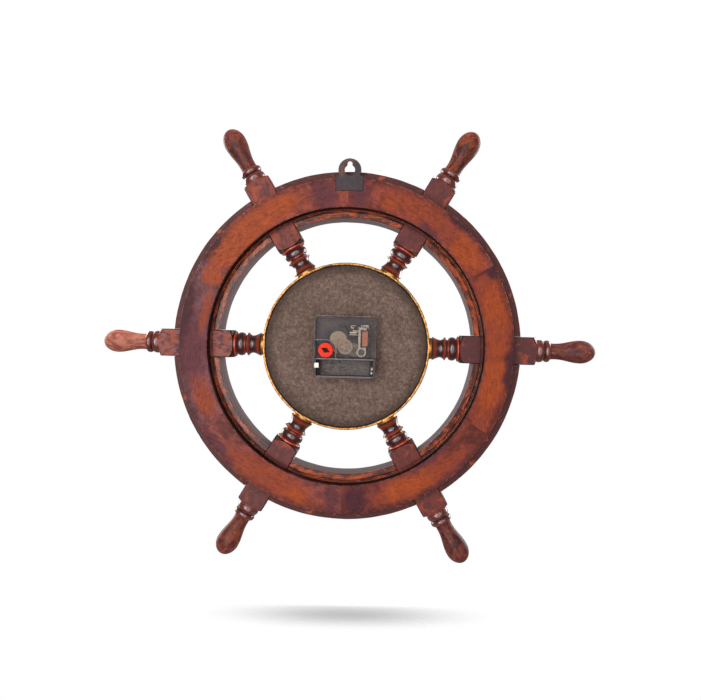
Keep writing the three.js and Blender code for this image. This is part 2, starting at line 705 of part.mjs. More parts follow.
function addTrainBridge() {
  const corners = BRIDGE_OUTLINE.map(([x, z]) => new THREE.Vector2(x, z));
  const shape = new THREE.Shape(corners);
  for (const place of [{ x: 0, z: 0 }, thirdPlace, intermediatePlace, rotorPlace]) {
    shape.holes.push(new THREE.Path().absarc(place.x, place.z, arborHole, 0, TURN, true));
  }
  const bridge = slab(shape, at(BRIDGE_LEVEL[0]), at(BRIDGE_LEVEL[1]), 6);
  add(clock, "train_bridge", bridge, blackPlastic);
}

// The knob's pocket: round beside the train, square towards the corner of the case.
function pocketShape(grow, right, bottom) {
  const radius = POCKET_RADIUS + grow;
  const shape = new THREE.Shape();
  shape.moveTo(right, bottom);
  shape.lineTo(right, knobPlace.z + radius);
  shape.absarc(knobPlace.x, knobPlace.z, radius, Math.PI / 2, Math.PI, false);
  shape.lineTo(knobPlace.x - radius, bottom);
  return shape;
}

function addCaseCover() {
  const bottom = BAY_TOP + BAY_WALL + JOINT_GAP;
  const coverFront = at(CASE_SPLIT);
  const ceiling = CASE_BACK - CASE_WALL;
  const outer = slab(squareOutline(CASE_SIZE, CASE_CORNER, bottom), coverFront, CASE_BACK, 4);
  const insideSize = CASE_SIZE - 2 * CASE_WALL;
  const insideShape = squareOutline(insideSize, CASE_CORNER - CASE_WALL, bottom + BAY_WALL);
  const inside = slab(insideShape, coverFront - 1, ceiling, 4);
  const pocketUnder = at(POCKET_FLOOR) - CASE_WALL;
  const pocketOutside = pocketShape(CASE_WALL, CASE_HALF + 1, bottom - 1);
  const around = slab(pocketOutside, pocketUnder, CASE_BACK + 1, 4);
  const pocketInside = pocketShape(0, CASE_HALF - CASE_WALL, bottom - 1);
  const pocket = slab(pocketInside, at(POCKET_FLOOR), CASE_BACK + 1, 4);
  const stemHole = rod(KNOB_STEM_RADIUS + JOINT_GAP, pocketUnder - 1, CASE_BACK, 12);
  stemHole.translate(knobPlace.x, 0, knobPlace.z);
  const shell = cut(outer, cut(inside, around), pocket, stemHole);
  const bosses = [{ x: 0, z: 0 }, thirdPlace, intermediatePlace, rotorPlace].map((place) => {
    const boss = tube(arborHole + BOSS_WALL, arborHole, arborTop - BOSS_REACH, ceiling + 0.5, 8);
    return boss.translate(place.x, 0, place.z);
  });
  add(clock, "case_cover", join(shell, ...bosses), smokyPlastic);
}

function addBushing() {
  const bore = BUSHING_RADIUS - BUSHING_WALL;
  const flangeFront = at(CASE_WALL);
  const flangeBack = flangeFront + BUSHING_FLANGE_THICKNESS;
  const outline = [
    [bore, BUSHING_FRONT],
    [BUSHING_RADIUS, BUSHING_FRONT],
    [BUSHING_RADIUS, flangeFront],
    [BUSHING_RADIUS + BUSHING_FLANGE, flangeFront],
    [BUSHING_RADIUS + BUSHING_FLANGE, flangeBack],
    [bore, flangeBack],
  ];
  add(clock, "threaded_bushing", ring(outline, 12), brass);
  const hole = BUSHING_RADIUS + JOINT_GAP;
  const washerFront = DIAL_FRONT - WASHER_THICKNESS;
  const washer = rod(WASHER_RADIUS, washerFront, DIAL_FRONT, 20);
  add(clock, "dial_washer", bored(washer, hole), brass);
  const corner = NUT_ACROSS_FLATS / Math.sqrt(3);
  const hexagon = rod(corner, washerFront - NUT_THICKNESS, washerFront, 6);
  add(clock, "dial_nut", bored(hexagon, hole), brass);
}

// Battery contacts

function addContacts() {
  const legX = BAY_LENGTH / 2 - JOINT_GAP - CONTACT_SHEET;
  const bottom = at(CONTACT_BOTTOM);
  const tabFront = at(CONTACT_TAB_HEIGHT);
  const tabBack = tabFront + CONTACT_SHEET;
  const z = BAY_TOP - POSITIVE_DROP;
  const leg = block(legX + CONTACT_SHEET / 2, z, CONTACT_SHEET, CONTACT_WIDTH, bottom, tabBack);
  const tabLength = CASE_HALF - legX;
  const tab = block(legX + tabLength / 2, z, tabLength, CONTACT_WIDTH, tabFront, tabBack);
  add(clock, "contact_positive", join(leg, tab), silver);
  const middle = (bottom + tabBack) / 2;
  const rise = (tabBack - bottom) / 2;
  const radius = (rise ** 2 + SPRING_BOW ** 2) / (2 * SPRING_BOW);
  const span = Math.asin(rise / radius);
  const leaf = new THREE.Shape();
  const centre = -legX - radius + SPRING_BOW;
  leaf.absarc(centre, middle, radius, -span, span, false);
  leaf.absarc(centre, middle, radius - CONTACT_SHEET, span, -span, true);
  const options = { depth: 2 * CONTACT_WIDTH, bevelEnabled: false, curveSegments: 8 };
  const spring = new THREE.ExtrudeGeometry(leaf, options);
  spring.translate(0, 0, BAY_TOP - NEGATIVE_DROP - CONTACT_WIDTH);
  add(clock, "contact_negative", spring, silver);
}

// Motor: coil, stator and rotor

function addMotor() {
  const barHalf = STATOR_BAR_WIDTH / 2;
  const lobeRadius = MAGNET_RADIUS + STATOR_GAP + LOBE_WALL;
  const from = at(STATOR_LEVEL[0]);
  const to = at(STATOR_LEVEL[1]);
  const lobe = rod(lobeRadius, from, to, 20).translate(rotorPlace.x, 0, rotorPlace.z);
  const hole = rod(MAGNET_RADIUS + STATOR_GAP, from - 1, to + 1, 16);
  hole.translate(rotorPlace.x, 0, rotorPlace.z);
  const barHeight = STATOR_TOP - rotorPlace.z;
  const barMiddle = rotorPlace.z + barHeight / 2;
  const bar = block(STATOR_BAR_X, barMiddle, STATOR_BAR_WIDTH, barHeight, from, to);
  const yokeWidth = STATOR_BAR_X - COIL_X + STATOR_BAR_WIDTH;
  const yokeX = (STATOR_BAR_X + COIL_X) / 2;
  const yoke = block(yokeX, STATOR_TOP - barHalf, yokeWidth, STATOR_BAR_WIDTH, from, to);
  const footTop = COIL_MIDDLE - COIL_LENGTH / 2 - COIL_FLANGE - JOINT_GAP;
  const footHeight = footTop - rotorPlace.z;
  const footMiddle = footTop - footHeight / 2;
  const foot = block(COIL_X, footMiddle, STATOR_BAR_WIDTH, footHeight, from, to);
  add(clock, "stator", cut(join(lobe, bar, yoke, foot), hole), steel);

  const coreTop = STATOR_TOP;
  const coreBottom = rotorPlace.z + MAGNET_RADIUS + STATOR_GAP;
  const coreMiddle = (coreTop + coreBottom) / 2;
  const coreHeight = coreTop - coreBottom;
  const coreBack = to + CORE_THICKNESS;
  const core = block(COIL_X, coreMiddle, STATOR_BAR_WIDTH, coreHeight, to, coreBack);
  add(clock, "coil_core", core, steel);

  const axis = to + CORE_THICKNESS / 2;
  const boreWidth = STATOR_BAR_WIDTH + 2 * JOINT_GAP;
  const boreDepth = CORE_THICKNESS + 2 * JOINT_GAP;
  const bobbinLength = COIL_LENGTH + 2 * COIL_FLANGE;
  const tubeWidth = boreWidth + 2 * BOBBIN_WALL;
  const tubeDepth = boreDepth + 2 * BOBBIN_WALL;
  const flangeWidth = 2 * COIL_RADIUS + 1;
  const around = (width, height, depth, z = COIL_MIDDLE) =>
    block(COIL_X, z, width, height, axis - depth / 2, axis + depth / 2);
  const spool = around(tubeWidth, bobbinLength, tubeDepth);
  const ends = [-1, 1].map((side) => {
    const z = COIL_MIDDLE + (side * (COIL_LENGTH + COIL_FLANGE)) / 2;
    return around(flangeWidth, COIL_FLANGE, 2 * WINDING_HALF_DEPTH, z);
  });
  const bore = around(boreWidth, bobbinLength + 2, boreDepth);
  add(clock, "coil_bobbin", cut(join(spool, ...ends), bore), blackPlastic);

  const winding = around(2 * COIL_RADIUS, COIL_LENGTH - 2 * JOINT_GAP, 2 * WINDING_HALF_DEPTH);
  const clear = around(tubeWidth + 2 * WIRE_GAP, COIL_LENGTH, tubeDepth + 2 * WIRE_GAP);
  add(clock, "coil_winding", cut(winding, clear), copper);

  const magnet = rod(MAGNET_RADIUS, at(MAGNET_LEVEL[0]), at(MAGNET_LEVEL[1]), 12);
  const arbor = rod(PIVOT_RADIUS, at(BRIDGE_LEVEL[0] - 1), arborTop, 8);
  const towards = rotorDirection + Math.PI;
  const pinion = pinionGeometry(ROTOR_TEETH, ROTOR_MODULE, towards, true, THIRD_LEVEL);
  const rotor = add(clock, "rotor", join(magnet, arbor, pinion), ferrite);
  rotor.position.set(rotorPlace.x, 0, rotorPlace.z);
}

function addCircuit() {
  const [width, height] = CIRCUIT_SIZE;
  const [from, to] = CIRCUIT_LEVEL.map(at);
  add(clock, "circuit_board", block(CIRCUIT_X, CIRCUIT_Z, width, height, from, to), circuit);
  const can = new THREE.CylinderGeometry(CRYSTAL_RADIUS, CRYSTAL_RADIUS, CRYSTAL_LENGTH, 10);
  can.rotateZ(Math.PI / 2);
  const crystal = add(clock, "quartz_crystal", can, silver);
  const [right, up] = CRYSTAL_OFFSET;
  crystal.position.set(CIRCUIT_X + right, to + CRYSTAL_RADIUS + JOINT_GAP, CIRCUIT_Z + up);
}

// Going train, from the rotor to the centre wheel

// A shallow recess that leaves a web between the hub and the rim of a wheel.
function webRecess(teeth, module, level) {
  const outer = (teeth * module) / 2 - 1.6;
  const back = at(level[1]);
  return tube(outer, 2, back - WHEEL_WEB_RECESS, back + 1, 16);
}

function addGoingTrain() {
  const outwards = rotorDirection;
  const back = rotorDirection + Math.PI;
  const secondsWheel = wheelGeometry(SECONDS_TEETH, SECONDS_MODULE, outwards, true, SECONDS_LEVEL);
  const webbed = cut(secondsWheel, webRecess(SECONDS_TEETH, SECONDS_MODULE, SECONDS_LEVEL));
  const towardsThird = thirdPlace.angle;
  const secondsPinion = pinionGeometry(
    SECONDS_PINION_TEETH,
    thirdModule,
    towardsThird,
    true,
    THIRD_LEVEL,
  );
  const secondsEnd = SECOND_HAND_FRONT + HAND_THICKNESS / 2;
  const secondsArbor = rod(PIVOT_RADIUS, secondsEnd, arborTop, 8);
  const sleeve = rod(PIVOT_RADIUS + 0.7, at(THIRD_LEVEL[1]), at(SECONDS_LEVEL[0] + 0.1), 8);
  add(clock, "seconds_wheel", join(webbed, secondsPinion, secondsArbor, sleeve), palePlastic);

  const intermediate = join(
    wheelGeometry(INTERMEDIATE_TEETH, ROTOR_MODULE, outwards, false, THIRD_LEVEL),
    pinionGeometry(INTERMEDIATE_PINION_TEETH, SECONDS_MODULE, back, false, SECONDS_LEVEL),
    rod(1.1, at(THIRD_LEVEL[1] - 0.1), at(SECONDS_LEVEL[0]), 8),
    rod(PIVOT_RADIUS, at(BRIDGE_LEVEL[0] - 0.4), arborTop, 8),
  );
  const intermediateMesh = add(clock, "intermediate_wheel", intermediate, palePlastic);
  intermediateMesh.position.set(intermediatePlace.x, 0, intermediatePlace.z);

  const towardsCentre = thirdPlace.angle + Math.PI;
  const third = join(
    wheelGeometry(THIRD_TEETH, thirdModule, towardsCentre, false, THIRD_LEVEL),
    pinionGeometry(THIRD_PINION_TEETH, centreModule, towardsCentre, false, CENTRE_LEVEL),
    rod(PIVOT_RADIUS, arborBottom, arborTop, 8),
  );
  add(clock, "third_wheel", third, palePlastic).position.set(thirdPlace.x, 0, thirdPlace.z);

  const centre = wheelGeometry(CENTRE_TEETH, centreModule, towardsThird, true, CENTRE_LEVEL);
  add(clock, "centre_wheel", bored(centre, CANNON_RADIUS + PIVOT_CLEARANCE), palePlastic);
}

// Motion works, from the cannon to the hour wheel, and the knob that sets them

function addMotionWorks() {
  const outwards = knobDirection;
  const back = knobDirection + Math.PI;
  const cannonEnd = MINUTE_HAND_FRONT - PIPE_PROUD;
  const pipeEnd = at(MOTION_LEVEL[0] - PINION_OVERLAP / 2);
  const seatStart = at(MOTION_LEVEL[1] + PINION_OVERLAP / 2);
  const cannon = join(
    pinionGeometry(CANNON_TEETH, MOTION_MODULE, outwards, true, MOTION_LEVEL),
    rod(CANNON_RADIUS, cannonEnd, pipeEnd),
    rod(CANNON_RADIUS, seatStart, at(CENTRE_LEVEL[1])),
  );
  add(clock, "minute_cannon", bored(cannon, CANNON_BORE), palePlastic);

  const pinionLevel = [HOUR_LEVEL[0] + PINION_OVERLAP, MOTION_LEVEL[0]];
  const motion = join(
    wheelGeometry(MOTION_TEETH, MOTION_MODULE, outwards, false, MOTION_LEVEL),
    pinionGeometry(MOTION_PINION_TEETH, MOTION_MODULE, back, false, pinionLevel),
  );
  const motionWheel = bored(motion, STUD_RADIUS + PIVOT_CLEARANCE);
  add(clock, "motion_wheel", motionWheel, palePlastic).position.set(motionPlace.x, 0, motionPlace.z);

  const hourEnd = HOUR_HAND_FRONT - PIPE_PROUD;
  const hour = join(
    wheelGeometry(HOUR_TEETH, MOTION_MODULE, outwards, true, HOUR_LEVEL),
    rod(HOUR_PIPE_RADIUS, hourEnd, at(HOUR_LEVEL[1])),
  );
  add(clock, "hour_wheel", bored(hour, HOUR_PIPE_BORE), palePlastic);
}

function addSettingKnob() {
  const back = knobDirection + Math.PI;
  const [from, to] = KNOB_LEVEL.map(at);
  const head = rod(KNOB_RADIUS, from, to, 24);
  const slot = new THREE.Shape();
  const tilt = radians(KNOB_SLOT_TILT);
  const corners = [
    [KNOB_SLOT_LENGTH / 2, 0],
    [0, KNOB_SLOT_WIDTH / 2],
    [-KNOB_SLOT_LENGTH / 2, 0],
    [0, -KNOB_SLOT_WIDTH / 2],
  ];
  corners.forEach(([along, across], i) => {
    const x = along * Math.cos(tilt) - across * Math.sin(tilt);
    const z = along * Math.sin(tilt) + across * Math.cos(tilt);
    if (i === 0) slot.moveTo(x, z);
    else slot.lineTo(x, z);
  });
  const slotted = cut(head, slab(slot, to - KNOB_SLOT_DEPTH, to + 1));
  const wheel = wheelGeometry(SETTING_TEETH, MOTION_MODULE, back, true, MOTION_LEVEL);
  const stem = rod(KNOB_STEM_RADIUS, arborBottom, from + 0.5, 12);
  const knob = add(clock, "setting_knob", join(slotted, stem, wheel), redPlastic);
  knob.position.set(knobPlace.x, 0, knobPlace.z);
}

// Hands: each is drawn pointing up, then turned clockwise as seen from the dial

function handOutline(points) {
  const shape = new THREE.Shape();
  const right = points.map(([across, along]) => new THREE.Vector2(across, along));
  const left = points.map(([across, along]) => new THREE.Vector2(-across, along)).reverse();
  shape.setFromPoints([...right, ...left.filter((p) => p.x !== 0)]);
  return shape;
}

function addHand(name, blade, hubRadius, bore, front, share) {
  const back = front + HAND_THICKNESS;
  const arm = slab(blade, front, back);
  const hub = rod(hubRadius, front, back, 14);
  const hand = add(clock, name, bored(join(arm, hub), bore), handBlack);
  hand.rotation.y = share * TURN;
}

function addHands() {
  const { hours, minutes, seconds } = SHOWN_TIME;
  const hourBore = HOUR_PIPE_RADIUS + HAND_SEAT;
  const minuteBore = CANNON_RADIUS + HAND_SEAT;
  const secondBore = PIVOT_RADIUS + HAND_SEAT;
  const minuteShare = (minutes + seconds / 60) / 60;
  const hourShare = (hours + minuteShare) / 12;
  const hourBlade = handOutline([
    [1.1, 0],
    [1, 17],
    [4.6, 21.5],
    [4.2, 24.5],
    [1.6, 28],
    [0, HOUR_HAND_LENGTH],
  ]);
  const minuteBlade = handOutline([
    [1.3, 0],
    [0.9, 30],
    [3, 34.5],
    [2.6, 37.5],
    [1, 41],
    [0, MINUTE_HAND_LENGTH],
  ]);
  const secondBlade = handOutline([
    [1.3, -SECOND_HAND_TAIL],
    [0.5, -2],
    [0.45, 2],
    [0.25, SECOND_HAND_LENGTH],
  ]);
  const hubs = [hourBore, minuteBore, secondBore].map((radius) => radius + HAND_HUB_WALL);
  addHand("hour_hand", hourBlade, hubs[0], hourBore, HOUR_HAND_FRONT, hourShare);
  addHand("minute_hand", minuteBlade, hubs[1], minuteBore, MINUTE_HAND_FRONT, minuteShare);
  addHand("second_hand", secondBlade, hubs[2], secondBore, SECOND_HAND_FRONT, seconds / 60);
}

addSpokes();
addFelloes();
addFacings();
addHanger();
addBand();
addHub();
addBezel();
addCaseBase();
addCaseCover();
addTrainBridge();
addBushing();
addContacts();
addMotor();
addCircuit();
addGoingTrain();
addMotionWorks();
addSettingKnob();
addHands();

export default clock;
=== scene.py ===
"""Ship wheel clock: the looks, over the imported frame.

Metres, +Z up. The wheel's axis is Y and the photograph shows its back, which faces +Y.
"""

import json
from math import acos, asin, cos, degrees, pi, radians, sin, sqrt

import bmesh
import bpy
from mathutils import Matrix, Vector, noise

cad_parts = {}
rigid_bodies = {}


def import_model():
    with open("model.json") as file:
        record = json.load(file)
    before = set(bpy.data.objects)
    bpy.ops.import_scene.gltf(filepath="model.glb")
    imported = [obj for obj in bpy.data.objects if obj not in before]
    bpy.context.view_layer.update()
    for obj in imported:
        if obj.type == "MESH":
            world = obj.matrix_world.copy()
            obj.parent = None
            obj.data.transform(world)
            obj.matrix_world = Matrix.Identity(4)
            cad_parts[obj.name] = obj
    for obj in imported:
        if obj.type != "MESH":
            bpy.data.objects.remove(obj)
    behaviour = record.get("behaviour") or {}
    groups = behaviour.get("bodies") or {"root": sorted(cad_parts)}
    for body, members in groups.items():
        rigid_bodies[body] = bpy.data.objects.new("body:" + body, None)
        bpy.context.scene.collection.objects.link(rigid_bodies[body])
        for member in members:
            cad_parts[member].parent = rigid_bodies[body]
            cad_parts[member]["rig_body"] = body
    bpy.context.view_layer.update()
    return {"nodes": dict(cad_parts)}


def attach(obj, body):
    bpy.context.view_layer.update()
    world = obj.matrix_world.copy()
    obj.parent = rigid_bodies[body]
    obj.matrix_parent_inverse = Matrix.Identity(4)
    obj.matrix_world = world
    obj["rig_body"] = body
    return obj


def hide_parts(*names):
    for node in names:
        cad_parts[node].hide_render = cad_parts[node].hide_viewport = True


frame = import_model()
nodes = frame["nodes"]
scene = bpy.context.scene
MM = 0.001
TAU = 2 * pi


# Measures, in millimetres: radii from the wheel's axis, depths from its middle plane

TIP = 228.6
RING_START = TIP - 41.6
OVOLO_START = RING_START - 5.8
OUTER_BLOCK = 173.5
INNER_BLOCK = 104.4
SHOULDER = 4.5
SPOKE_END = 79.6
SQUARE = 12.5  # half the width of the spoke's square block
BLOCK_CORNER = 17.25  # the block's corners, a little rounded
PAST_CORNER = SQUARE * sqrt(2) + 0.3
TENON_RADIUS = 5.0
TENON_END = 63.0

FACING_OUTER = 151.2
FACING_INNER = 125.2
FELLOE_OUTER = 159.0
FELLOE_INNER = 116.5
FELLOE_FACE = 12.5
RIM_BACK = 24.5
GROOVE_IN, GROOVE_OUT = 122.6, 124.2
GROOVE_FLOOR = 11.0
HANGER_X = -0.9
HANGER_FRONT = 23.25

BAND = 77.0
KNOB_X, KNOB_Z = 17.33, -3.3
COVER_BACK = 23.7
CIRCUIT_BACK = 16.5
SECONDS_BACK = 18.38


# Node helpers

class Nodes:
    """A node tree, with short calls for what goes into it."""

    def __init__(self, tree):
        self.tree = tree
        tree.nodes.clear()

    def node(self, kind, **inputs):
        """A new node. Its inputs are set by name, with _ for a space."""
        made = self.tree.nodes.new("ShaderNode" + kind)
        for name, value in inputs.items():
            self.put(made.inputs[name.replace("_", " ")], value)
        return made

    def put(self, socket, value):
        if isinstance(value, bpy.types.NodeSocket):
            self.tree.links.new(value, socket)
        elif socket.type == "RGBA":
            socket.default_value = (*value, 1)
        else:
            socket.default_value = value

    def math(self, operation, a, b=0.0):
        made = self.node("Math")
        made.operation = operation
        self.put(made.inputs[0], a)
        self.put(made.inputs[1], b)
        return made.outputs[0]

    def join(self, operation, values):
        made = values[0]
        for value in values[1:]:
            made = self.math(operation, made, value)
        return made

    def both(self, *values):
        """The product: 1 where every value is 1."""
        return self.join("MULTIPLY", values)

    def either(self, *values):
        """The largest: 1 where any value is 1."""
        return self.join("MAXIMUM", values)

    def plus(self, *values):
        return self.join("ADD", values)

    def vector(self, operation, a, b=None, scale=None):
        made = self.node("VectorMath")
        made.operation = operation
        self.put(made.inputs[0], a)
        if b is not None:
            self.put(made.inputs[1], b)
        if scale is not None:
            self.put(made.inputs["Scale"], scale)
        return made.outputs["Value" if operation == "LENGTH" else 0]

    def step(self, value, low, high, out_low=0.0, out_high=1.0):
        """Goes smoothly from one value to the other while its input goes from low to high."""
        made = self.node("MapRange", Value=value, From_Min=low, From_Max=high, To_Min=out_low,
                         To_Max=out_high)
        made.interpolation_type = "SMOOTHSTEP"
        return made.outputs[0]

    def within(self, value, low, high, soft):
        return self.both(self.step(value, low - soft, low + soft),
                         self.step(value, high + soft, high - soft))


class Finish(Nodes):
    """A material. Its place, x, y and z are the piece's own, in millimetres.

    The colour is built up in layers, and done() sets it.
    """

    def __init__(self, name, IOR=1.5, **inputs):
        self.material = bpy.data.materials.new(name)
        self.material.use_nodes = True
        super().__init__(self.material.node_tree)
        self.shader = self.node("BsdfPrincipled", IOR=IOR, **inputs)
        self.node("OutputMaterial", Surface=self.shader.outputs[0])
        self.place = self.vector("SCALE", self.node("TexCoord").outputs["Object"], scale=1 / MM)
        self.x, self.y, self.z = self.node("SeparateXYZ", Vector=self.place).outputs

    def set(self, name, value):
        self.put(self.shader.inputs[name], value)

    def stretched(self, scale, shift=(0, 0, 0)):
        if isinstance(scale, (int, float)):
            scale = (scale, scale, scale)
        return self.node("Mapping", Vector=self.place, Scale=scale, Location=shift).outputs[0]

    def clouds(self, vector, detail, rough, twist=0.0):
        """Noise over a vector: the outputs are a value and a colour."""
        return self.node("TexNoise", Vector=vector, Scale=1, Detail=detail, Roughness=rough,
                         Distortion=twist).outputs

    def noise(self, scale, detail=4, rough=0.55, shift=(0, 0, 0), twist=0.0):
        return self.clouds(self.stretched(scale, shift), detail, rough, twist)[0]

    def cells(self, scale):
        return self.node("TexVoronoi", Vector=self.stretched(scale), Scale=1).outputs["Distance"]

    def ramp(self, value, stops):
        made = self.node("ValToRGB")
        self.put(made.inputs[0], value)
        items = made.color_ramp.elements
        while len(items) < len(stops):
            items.new(0.5)
        for item, (place, colour) in zip(items, stops):
            item.position = place
            item.color = (*colour, 1)
        return made.outputs[0]

    def mix(self, share, a, b, blend="MIX"):
        made = self.node("Mix")
        made.data_type = "RGBA"
        made.blend_type = blend
        self.put(made.inputs[0], share)
        self.put(made.inputs[6], a)
        self.put(made.inputs[7], b)
        return made.outputs[2]

    def tinted(self, colour, tint):
        return self.mix(1.0, colour, tint, "MULTIPLY")

    def lay(self, share, tone):
        """Covers a share of the colour so far with another tone."""
        self.colour = self.mix(share, self.colour, tone)

    def warped(self, scale, amount, shift=(0, 0, 0)):
        """The place, pushed about by noise, for edges that wander."""
        push = self.clouds(self.stretched(scale, shift), 3, 0.5)["Color"]
        centred = self.vector("SUBTRACT", push, (0.5, 0.5, 0.5))
        return self.vector("ADD", self.place, self.vector("SCALE", centred, scale=amount))

    def spot(self, place, turn, radius, along, across, soft):
        """1 within an ellipse on the rim: its middle by angle and radius, and its two halves."""
        angle = radians(turn)
        right_through = 1000
        made = self.node("Mapping", Vector=place, Rotation=(0, -angle, 0),
                         Location=(radius * cos(angle), 0, radius * sin(angle)),
                         Scale=(across, right_through, along))
        made.vector_type = "TEXTURE"
        return self.step(self.vector("LENGTH", made.outputs[0]), 1 + soft, 1 - soft)

    def radius(self):
        return self.math("SQRT", self.plus(self.both(self.x, self.x), self.both(self.z, self.z)))

    def done(self, roughness, height, strength, distance):
        """The material with the colour so far, given its roughness and the height of its bumps."""
        self.set("Base Color", self.colour)
        self.set("Roughness", roughness)
        made = self.node("Bump", Strength=strength, Distance=distance * MM, Height=height)
        self.set("Normal", made.outputs[0])
        return self.material


# Finishes

# Along the spoke: millimetres from the wheel's middle, and the turned wood's colour there: its stain,
# with near-black lines of painted shade in the creases and at the beads' edges, and bright red bands that
# are partly varnish build-up and partly painted glow
TURNED_ZONES = [
    (79.6, (0.110, 0.018, 0.010)),
    (81.8, (0.300, 0.038, 0.012)),
    (84.4, (0.045, 0.006, 0.005)),
    (88.9, (0.040, 0.006, 0.005)),
    (90.2, (0.300, 0.028, 0.008)),
    (91.3, (0.380, 0.045, 0.014)),
    (92.0, (0.010, 0.002, 0.002)),
    (93.2, (0.050, 0.005, 0.003)),
    (94.2, (0.420, 0.032, 0.008)),
    (95.2, (0.050, 0.008, 0.007)),
    (100.3, (0.045, 0.007, 0.006)),
    (101.3, (0.012, 0.002, 0.002)),
    (101.9, (0.520, 0.038, 0.008)),
    (103.3, (0.800, 0.062, 0.011)),
    (103.9, (0.420, 0.030, 0.008)),
    (104.15, (0.010, 0.002, 0.002)),
    (172.6, (0.100, 0.022, 0.020)),
    (173.9, (0.010, 0.002, 0.002)),
    (174.5, (0.560, 0.060, 0.012)),
    (175.8, (0.150, 0.028, 0.020)),
    (180.0, (0.130, 0.024, 0.018)),
    (180.9, (0.240, 0.022, 0.006)),
    (181.4, (0.010, 0.002, 0.002)),
    (182.1, (0.120, 0.012, 0.006)),
    (184.4, (0.130, 0.022, 0.016)),
    (186.9, (0.260, 0.050, 0.030)),
]


def turned_wood(name, seed, handle, streak, block_tone):
    """Varnished turned wood, with painted shade, painted glow and a painted highlight in its colour. +X
    of the piece runs along the spoke, from the hub to the tip.
    """
    f = Finish(name, IOR=1.32, Coat_IOR=1.85, Coat_Roughness=0.27, Sheen_Weight=0.1,
               Sheen_Roughness=0.5, Sheen_Tint=(1.0, 0.66, 0.58))
    shift = (seed * 13.7, seed * 5.1, seed * 7.9)
    start, length = 79, 150
    reach = f.both(f.math("SUBTRACT", f.x, start), 1 / length)
    turned = f.ramp(reach, [((mm - start) / length, tone) for mm, tone in TURNED_ZONES])
    grain = f.noise((0.05, 1.2, 1.2), 6, 0.62, shift, 0.6)
    turned = f.mix(f.step(grain, 0.42, 0.72, 0, 0.55), turned, f.tinted(turned, (0.35, 0.28, 0.3)))

    warp = f.warped(0.16, 5, shift)
    swirl = f.clouds(f.vector("MULTIPLY", warp, (0.075, 0.17, 0.17)), 5, 0.62, 1.6)[0]
    body = f.mix(f.step(swirl, 0.4, 0.6), handle, streak)
    speck = f.step(f.noise((0.16, 0.5, 0.5), 4, 0.65, (shift[0] + 40, 0, 0)), 0.58, 0.68)
    body = f.mix(f.both(speck, f.step(grain, 0.3, 0.6, 0.2, 0.8)), body, (0.5, 0.13, 0.045))
    pore = f.step(f.noise((0.3, 2.2, 2.2), 3, 0.6, (shift[0] + 9, 3, 0)), 0.62, 0.72)
    body = f.mix(f.both(pore, f.step(grain, 0.2, 0.6, 0.2, 0.5)), body, (0.035, 0.01, 0.01))
    # painted highlight: each handle is painted paler and greyer towards its tip
    body = f.mix(f.step(f.x, 210, 226, 0, 0.5), body, f.tinted(body, (1.7, 2.0, 2.1)))

    square = f.mix(f.step(swirl, 0.42, 0.62), block_tone, (0.085, 0.018, 0.02))
    ember = f.step(f.noise(0.085, 4, 0.62, (shift[0], 2, 5), 0.8), 0.52, 0.68)
    square = f.mix(f.both(ember, f.step(grain, 0.35, 0.6, 0.5, 0.95)), square, (0.4, 0.062, 0.014))
    square = f.mix(f.step(grain, 0.5, 0.74, 0, 0.5), square, (0.05, 0.012, 0.014))
    side = f.either(f.math("ABSOLUTE", f.y), f.math("ABSOLUTE", f.z))
    away = f.vector("LENGTH", f.vector("MULTIPLY", f.place, (0, 1, 1)))
    corner = f.step(f.math("SUBTRACT", away, side), 4.3, 4.9)
    ends = f.either(f.step(f.x, 110.5, 108.5), f.step(f.x, 169.5, 171.5))
    square = f.mix(f.both(corner, f.step(grain, 0.3, 0.6, 0.3, 0.75)), square, (0.035, 0.009, 0.01))
    # painted shade: the turned shoulders past each block's flat faces are painted near-black
    shoulder_shade = f.both(ends, f.step(side, SQUARE - 0.04, SQUARE - 0.12))
    square = f.mix(shoulder_shade, square, (0.01, 0.003, 0.003))

    on_handle = f.step(f.x, RING_START - 0.8, RING_START + 0.2)
    on_block = f.within(f.x, INNER_BLOCK - 0.05, OUTER_BLOCK - 0.2, 0.1)
    f.colour = f.mix(on_handle, turned, body)
    f.lay(on_block, square)
    satin = f.either(on_handle, f.both(on_block, f.math("SUBTRACT", 1.0, shoulder_shade)))
    dull = f.either(satin, f.both(f.within(f.x, 104.0, 109.5, 0.1), 0.85))
    f.set("Coat Weight", f.step(dull, 0, 1, 0.95, 0.04))
    roughness = f.plus(f.both(satin, 0.2), f.step(grain, 0.3, 0.8, 0.28, 0.38))
    ripple = f.plus(f.both(grain, 0.4), f.both(f.noise(0.4, 3), 0.9))
    return f.done(roughness, ripple, 0.22, 0.1)


